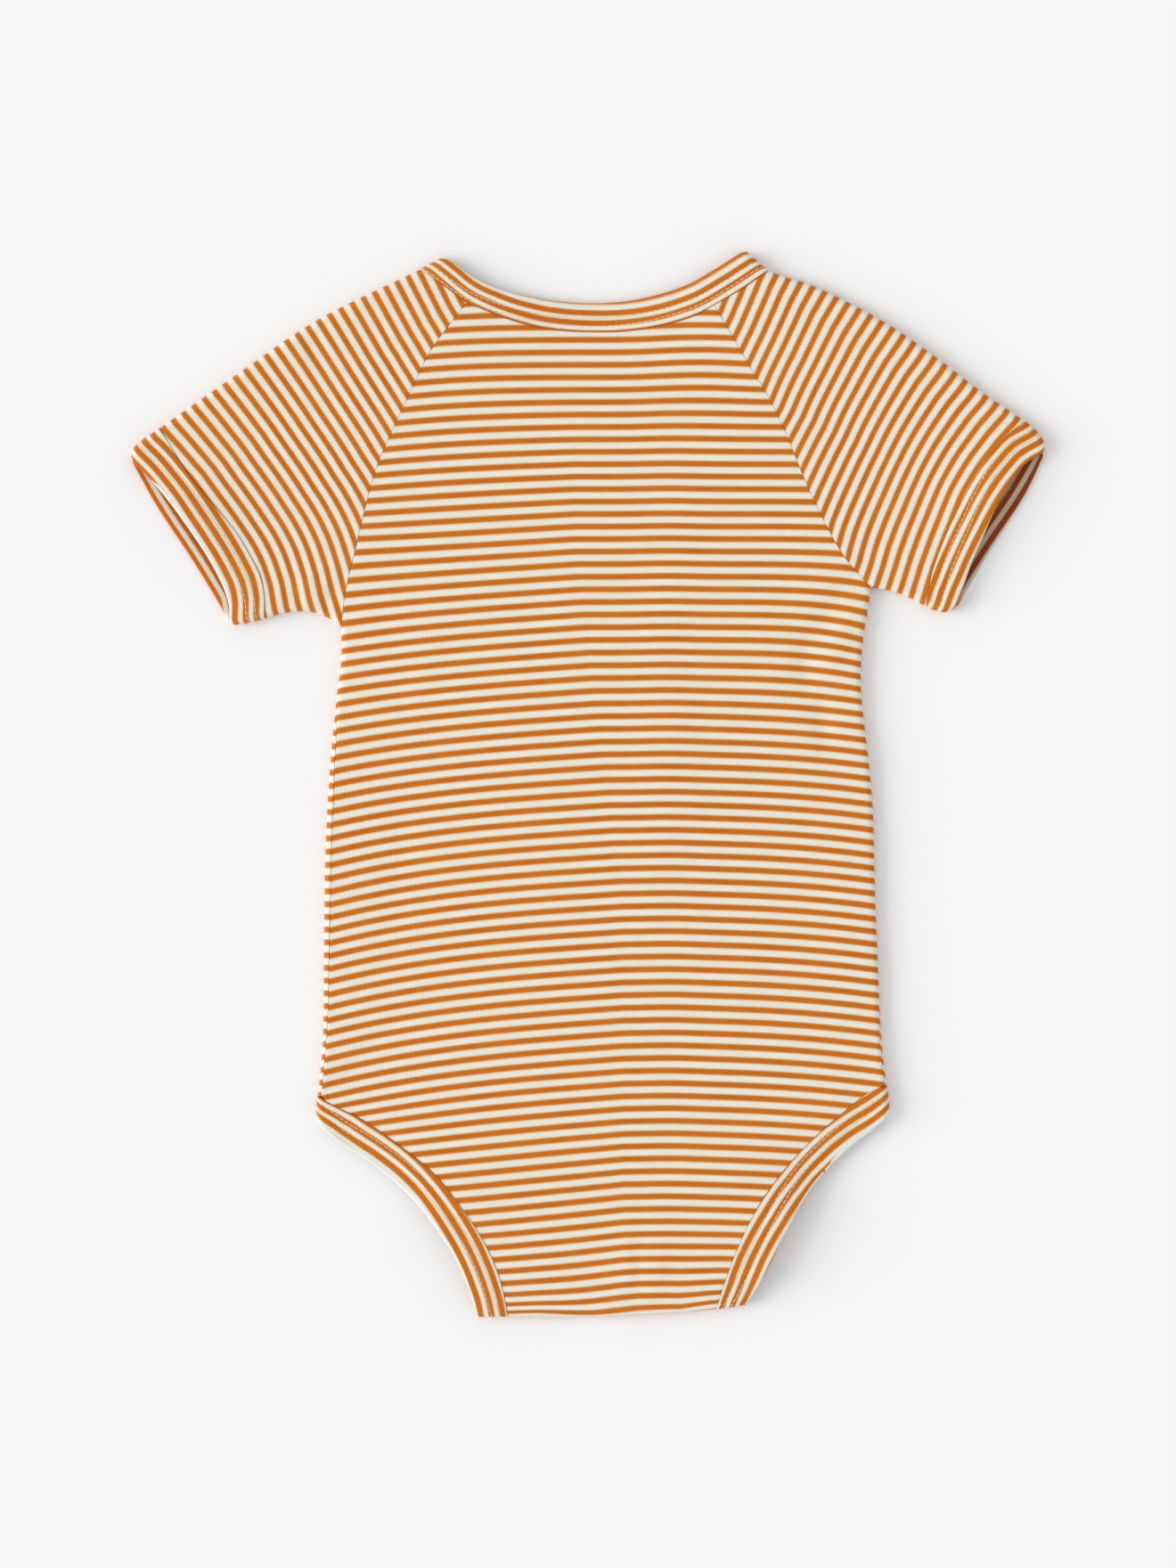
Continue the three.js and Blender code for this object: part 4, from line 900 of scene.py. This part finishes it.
def fold_bend(fold, foot, tip):
    """How far the fold bends away from a straight row across the binding."""
    shares = band_shares(abs(tip - foot))
    shares /= shares[-1]
    line = fold.at(mix(foot, tip, shares))
    return line - mix(line[0], line[-1], shares[:, None])


def band_row(layer, seam, edge, bend=0.0):
    shares = band_shares(np.hypot(*(edge - seam)))
    return lay(layer, mix(seam, edge, shares[:, None]) + bend)


def band_on_fold(fold, foot, tip):
    start = foot + math.copysign(GAP, tip - foot)
    shares = band_shares(abs(tip - start))
    shares /= shares[-1]
    return round_fold(fold, mix(start, tip, shares), 0.0)


def bind(name, rows, stripes, needles, spans, ring, up_row, roll=1.0, painted_shade=0.0):
    """A folded binding from rows that run from seam to free edge. spans gives how far each row is along the
    binding, in the terms of the stripes' table: where the first orange stripe lies in from the free edge, the
    pitch, and how far in the rim stays cream. roll narrows a stripe that rolls over the rim."""
    points = np.array(rows)
    normal = facing(points, ring, 1)
    if normal[up_row, :, 2].mean() < 0:
        normal = -normal
    across = np.linalg.norm(np.diff(points, axis=1), axis=2)
    from_seam = np.hstack([np.zeros((len(points), 1)), np.cumsum(across, 1)])
    from_edge = from_seam[:, -1:] - from_seam
    middle = points[:, points.shape[1] // 2]
    run = np.r_[0, np.cumsum(np.linalg.norm(np.diff(middle, axis=0), axis=1))]
    whole = run[-1] + (np.linalg.norm(middle[0] - middle[-1]) if ring else 0)
    table = np.array(stripes, float)
    first, pitch, rim = (np.interp(spans, table[:, 0], table[:, k])[:, None] for k in (1, 2, 3))
    wales = np.broadcast_to((run / WALE)[:, None], from_edge.shape)
    stripe = (from_edge - BAND_NOSE - first) / pitch
    stripe = np.where(stripe < -0.5, -0.5 + (stripe + 0.5) * roll, stripe)
    stripe = np.where(from_edge - BAND_NOSE < rim, np.floor((rim - first) / pitch) + 0.5, stripe)
    knit = np.stack([wales, stripe], -1)
    dents = sum(np.exp(-((from_edge - needle) / 0.4) ** 2) for needle in needles)
    pull = 0.2 + 0.05 * np.cos(2 * math.pi * run / STITCH_PITCH)[:, None]
    crown = 0.12 * np.sin(math.pi * np.clip(from_seam / from_seam[:, -1:], 0, 1))
    proud = (BINDING_PROUD + crown) * (normal[..., 2] + 1) / 2
    face = points + normal * (proud - dents * pull)[..., None]
    piece = cloth_piece(name, face, normal, knit, BINDING, ring=ring, turn=whole / WALE,
                        rounds=(0.25, 0.25, 0.25, 0.85),
                        edge=np.interp(from_edge, [0, *needles, 30], [0, *NEEDLES, 30]), painted_shade=painted_shade)
    return piece, face, normal, from_edge, run, whole


binding_jersey = striped_jersey("binding_rib_jersey", 0.54, 0.13, 4.05, True)


def neck_rows(layer):
    part = "back" if layer == "upper" else "front"
    first, last = (pattern[side][f"{part}_neck"] for side in ("left", "right"))
    neck, edge = necks[layer], neck_edges[layer]
    total = first.length + neck.length + last.length
    close = FOLD_STEPS[1:]
    more = np.linspace(close[-1], first.length, 10)[1:-1]
    starts = np.r_[close, more]
    rows, runs = [], []
    for d in starts:
        rows.append((first.at(min(d, first.length), GAP), d))
    for d in np.linspace(GAP, neck.length - GAP, 80):
        rows.append((neck.at(d, -GAP), first.length + d))
    for d in starts[::-1]:
        rows.append((last.at(d, GAP), total - d))
    bends = [fold_bend(pattern[side]["shoulder_fold"], pattern[side]["neck_foot"], CORNER) for side in pattern]
    bound = []
    for seam, run in rows:
        runs.append(run / total)
        along = run / total * edge.length
        inset = corner_inset(along) + corner_inset(edge.length - along)
        if layer == "lower":
            along, inset = np.clip(along, CORNER, edge.length - CORNER), 0
        bend = bends[0] * max(0, 1 - run / 5) + bends[1] * max(0, 1 - (total - run) / 5)
        bound.append(band_row(layer, seam, edge.at(along, inset), bend))
    return bound, runs


upper, upper_spans = neck_rows("upper")
lower, lower_spans = neck_rows("lower")
rows = [band_on_fold(pattern["left"]["shoulder_fold"], pattern["left"]["neck_foot"], CORNER), *upper,
        band_on_fold(pattern["right"]["shoulder_fold"], pattern["right"]["neck_foot"], CORNER), *lower[::-1]]
neck_band = bind("neck_binding_cloth", rows, NECK_STRIPES, NECK_NEEDLES,
                 [0, *upper_spans, 1, *lower_spans[::-1]], True, 40, 0.62)
dress(neck_band[0], "neck_binding", binding_jersey)


# Stitching. Cream polyester thread in two rows round every binding, each stitch a short raised strand that
# dives into the jersey at both ends.
THREAD = 0.13
THREAD_COLOUR = (0.78, 0.66, 0.42, 1)
PALE_THREAD = (0.84, 0.79, 0.66, 1)


def sew(name, band, needles, ring):
    _, face, normal, from_edge, run, whole = band
    places, faces = [], []
    for needle in needles:
        line, up = [], []
        for row in range(len(face)):
            order = from_edge[row][::-1]
            line.append([np.interp(needle, order, face[row, ::-1, k]) for k in range(3)])
            up.append([np.interp(needle, order, normal[row, ::-1, k]) for k in range(3)])
        line, up = np.array(line), np.array(up)
        if ring:
            line, up = np.vstack([line, line[:1]]), np.vstack([up, up[:1]])
        along = np.r_[0, np.cumsum(np.linalg.norm(np.diff(line, axis=0), axis=1))]
        count = int(along[-1] / STITCH_PITCH)
        for stitch in range(count):
            begin = (stitch + 0.5 * (needle == needles[1])) * along[-1] / count
            spots = begin + np.array([0.04, 0.2, 0.5, 0.8, 0.96]) * STITCH_PITCH
            spots = spots % along[-1] if ring else np.minimum(spots, along[-1])
            centre = np.stack([np.interp(spots, along, line[:, k]) for k in range(3)], -1)
            above = np.stack([np.interp(spots, along, up[:, k]) for k in range(3)], -1)
            above /= np.linalg.norm(above, axis=1)[:, None]
            way = centre[-1] - centre[0]
            if np.linalg.norm(way) < 0.5 * STITCH_PITCH:
                continue
            way /= np.linalg.norm(way)
            beside = np.cross(above, way)
            centre = centre + above * np.array([-0.2, 0.03, 0.07, 0.03, -0.2])[:, None]
            size = THREAD * np.array([0.55, 1, 1, 1, 0.55])
            start = len(places)
            for k in range(5):
                for corner in range(6):
                    a = corner * math.pi / 3
                    places.append(centre[k] + (above[k] * math.sin(a) + beside[k] * math.cos(a)) * size[k])
            for k in range(4):
                for corner in range(6):
                    a, b = start + 6 * k + corner, start + 6 * k + (corner + 1) % 6
                    faces.append((a, b, b + 6, a + 6))
            faces.append(tuple(start + c for c in range(5, -1, -1)))
            faces.append(tuple(start + 24 + c for c in range(6)))
    mesh = bpy.data.meshes.new(name)
    mesh.from_pydata((np.array(places) * 0.001).tolist(), [], faces)
    mesh.shade_smooth()
    stitches = bpy.data.objects.new(name, mesh)
    bpy.context.collection.objects.link(stitches)
    stitches.data.materials.append(thread)
    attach(stitches, "root")
    return stitches


thread = bpy.data.materials.new("cream_sewing_thread")
thread.use_nodes = True
tree = thread.node_tree
strand = tree.nodes["Principled BSDF"]
place = tree.nodes.new("ShaderNodeTexCoord").outputs["Object"]
worn = ramp(tree, noise(tree, place, 900, 2), 0.35, 0.65)
tint = blend_colours(tree, worn, THREAD_COLOUR, PALE_THREAD)
tree.links.new(tint, strand.inputs["Base Color"])
twist = tree.nodes.new("ShaderNodeBump")
twist.inputs["Strength"].default_value = 0.4
twist.inputs["Distance"].default_value = 0.00008
tree.links.new(noise(tree, place, 5200, 1), twist.inputs["Height"])
tree.links.new(twist.outputs[0], strand.inputs["Normal"])
strand.inputs["Roughness"].default_value = 0.6
strand.inputs["Sheen Weight"].default_value = 0.1

neck_stitches = sew("neck_binding_stitches", neck_band, NECK_NEEDLES, True)


# Cuff bindings. A ring of folded jersey on each sleeve, closed under the arm. The right one gapes, and shows
# the striped inner face of its lower half, with shade painted onto it.
CUFF_NEEDLES = (6.2, 9.7)
CUFF_STRIPES = {
    "left": [(0, 3.8, 4.05, -1), (0.1, 3.85, 4.05, -1), (0.2, 3.5, 4.0, 0.3), (0.3, 3.35, 4.05, 0.3),
             (0.4, 3.0, 4.15, 0.3), (0.6, 2.8, 4.1, 0.3), (0.8, 2.85, 4.1, 0.3), (0.9, 2.1, 4.1, 0),
             (1, 1.2, 4.1, 0), (2, 1.2, 4.1, -1), (2.15, 4.4, 4.1, -1), (2.9, 4.3, 4.1, -1), (3, 3.8, 4.05, -1)],
    "right": [(0, -0.3, 4.05, -1), (0.2, -0.35, 4.1, -1), (0.3, 0.05, 4.2, -1), (0.4, 0.55, 4.2, -1),
              (0.5, 1.05, 4.1, -1), (0.6, 1.55, 4.1, -1), (0.7, 1.8, 4.05, -1), (0.8, 2.15, 4.1, -1),
              (0.9, 2.9, 4.0, -1), (1, 3.4, 3.9, -1), (2, 3.4, 3.9, -1), (2.1, 2.4, 4.0, -1),
              (2.3, 1.8, 4.1, -1), (2.6, 1.1, 4.1, -1), (2.8, 0.6, 4.1, -1), (3, -0.3, 4.05, -1)],
}


def cuff_rows(side, layer):
    part = "back" if layer == "upper" else "front"
    seam, edge = pattern[side][f"{part}_cuff"], pattern[side][f"{part}_cuff_edge"]
    close = FOLD_STEPS[1:] / seam.length
    shares = np.r_[close, np.linspace(close[-1], 1 - close[-1], 50)[1:-1], 1 - close[::-1]]
    lines = pattern[side]
    top = fold_bend(lines["shoulder_fold"], lines["cuff_top_foot"], lines["shoulder_fold"].length - CORNER)
    under = fold_bend(lines["underarm_fold"], lines["cuff_under_foot"], CORNER)
    rows = []
    for t in shares:
        along = t * edge.length
        inset = corner_inset(along) + corner_inset(edge.length - along)
        bend = top * max(0, 1 - along / 5) + under * max(0, 1 - (edge.length - along) / 5)
        rows.append(band_row(layer, seam.at(t * seam.length, -GAP), edge.at(along, inset), bend))
    return rows, list(shares)


for side in ("left", "right"):
    lines = pattern[side]
    upper, upper_spans = cuff_rows(side, "upper")
    lower, lower_spans = cuff_rows(side, "lower")
    top_tip = lines["shoulder_fold"].length - CORNER
    rows = [band_on_fold(lines["shoulder_fold"], lines["cuff_top_foot"], top_tip), *upper,
            band_on_fold(lines["underarm_fold"], lines["cuff_under_foot"], CORNER), *lower[::-1]]
    band = bind(f"cuff_binding_{side}_cloth", rows, CUFF_STRIPES[side], CUFF_NEEDLES,
                [0, *upper_spans, 1, *(3 - np.array(lower_spans))[::-1]], True, 25, painted_shade=MOUTH_SHADE[side])
    dress(band[0], f"cuff_binding_{side}", binding_jersey)
    stitches = sew(f"cuff_binding_{side}_stitches", band, CUFF_NEEDLES, True)


# Leg bindings. One folded strip on each side, from the hem of the front, round the hip, down the back of the
# leg and under the crotch fold to the end of the tab.
LEG_NEEDLES = {"left": (5.3, 8.5), "right": (6.0, 9.3)}
LEG_STRIPES = {
    "left": [(-1, 3.3, 3.9, 0.8), (0, 2.9, 3.6, 0.8), (0.07, 3.8, 3.9, 0.8), (0.13, 4.1, 4.2, 0.9),
             (0.2, 3.55, 4.15, 0.8), (0.33, 3.6, 4.15, 0.8), (0.4, 3.3, 4.1, 0.5), (0.47, 3.0, 4.0, 0.4),
             (0.6, 2.4, 4.1, -0.2), (0.73, 1.75, 4.15, -1), (0.8, 1.5, 4.1, -1), (0.93, 1.6, 4.1, -1),
             (1, 1.1, 4.1, -1), (2, 1.1, 4.1, -1)],
    "right": [(-1, -1.2, 4.2, 1.5), (0.07, -1.2, 4.2, 1.5), (0.13, -0.8, 4.2, 1.6), (0.2, -0.3, 4.15, 1.6),
              (0.27, 0.05, 4.2, 1.2), (0.33, 0.1, 4.2, 0.2), (0.4, 0.6, 4.0, 0.3), (0.47, 0.85, 3.95, 0.3),
              (0.53, 1.5, 4.0, 0.4), (0.6, 2.0, 4.05, -1), (0.67, 2.45, 4.05, -1), (0.73, 2.75, 4.05, -1),
              (0.8, 3.0, 4.05, -1), (0.87, 2.65, 4.1, -1), (0.93, 2.05, 3.95, -1), (1, 1.6, 3.85, -1),
              (2, 1.6, 3.85, -1)],
}


def leg_rows(side, layer):
    part = "back" if layer == "upper" else "front"
    seam, edge = pattern[side][f"{part}_leg"], pattern[side][f"{part}_leg_edge"]
    end = seam.length - FOLD_RADIUS if layer == "upper" else seam.length
    finish = [] if layer == "upper" else (seam.length - EDGE_STEPS[:6][::-1]).tolist()
    body = np.linspace(3, end - (2 if finish else 0), 64)
    lengths = np.r_[FOLD_STEPS[1:], body, finish]
    rows = []
    for length in lengths:
        along = length / seam.length * edge.length
        rows.append(band_row(layer, seam.at(length, -GAP), edge.at(along, corner_inset(along))))
    return rows, (lengths / seam.length).tolist()


for side in ("left", "right"):
    lines = pattern[side]
    upper, upper_spans = leg_rows(side, "upper")
    lower, lower_spans = leg_rows(side, "lower")
    (seam_fold, seam_end), (edge_fold, edge_end) = TAB_SEAM[side], TAB_EDGE[side]
    shares = band_shares(abs(edge_fold - seam_fold))
    start = -lines["side"] * GAP
    tab, _ = round_crotch(upper[-1][:, 0], mix(seam_fold + start, edge_fold, shares),
                          mix(seam_end + start, edge_end, shares))
    hip = band_on_fold(lines["side_fold"], lines["hip_foot"], lines["side_fold"].length - CORNER)
    rows = [*lower[::-1], hip, *upper, *tab]
    spans = [*(-np.array(lower_spans[::-1])), 0, *upper_spans, *np.linspace(1.02, 1.4, len(tab))]
    band = bind(f"leg_binding_{side}_cloth", rows, LEG_STRIPES[side], LEG_NEEDLES[side], spans, False,
                len(lower) + 40)
    dress(band[0], f"leg_binding_{side}", binding_jersey)
    stitches = sew(f"leg_binding_{side}_stitches", band, LEG_NEEDLES[side], False)


# Snaps. Three ring snaps of nickelled brass under the crotch, pressed through hem and tab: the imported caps,
# sockets and studs stay, in a satin metal.
snap_metal = bpy.data.materials.new("satin_nickel")
snap_metal.use_nodes = True
tree = snap_metal.node_tree
metal = tree.nodes["Principled BSDF"]
place = tree.nodes.new("ShaderNodeTexCoord").outputs["Object"]
scratches = noise(tree, place, 1400, 3)
tint = blend_colours(tree, scratches, (0.62, 0.60, 0.56, 1), (0.78, 0.76, 0.72, 1))
tree.links.new(tint, metal.inputs["Base Color"])
tree.links.new(maths(tree, "MULTIPLY_ADD", scratches, 0.2, 0.24), metal.inputs["Roughness"])
metal.inputs["Metallic"].default_value = 1
for number in (1, 2, 3):
    for part in ("hem_cap", "hem_socket", "tab_stud", "tab_cap"):
        for slot in bpy.data.objects[f"{part}_{number}"].material_slots:
            slot.material = snap_metal


bpy.context.view_layer.update()
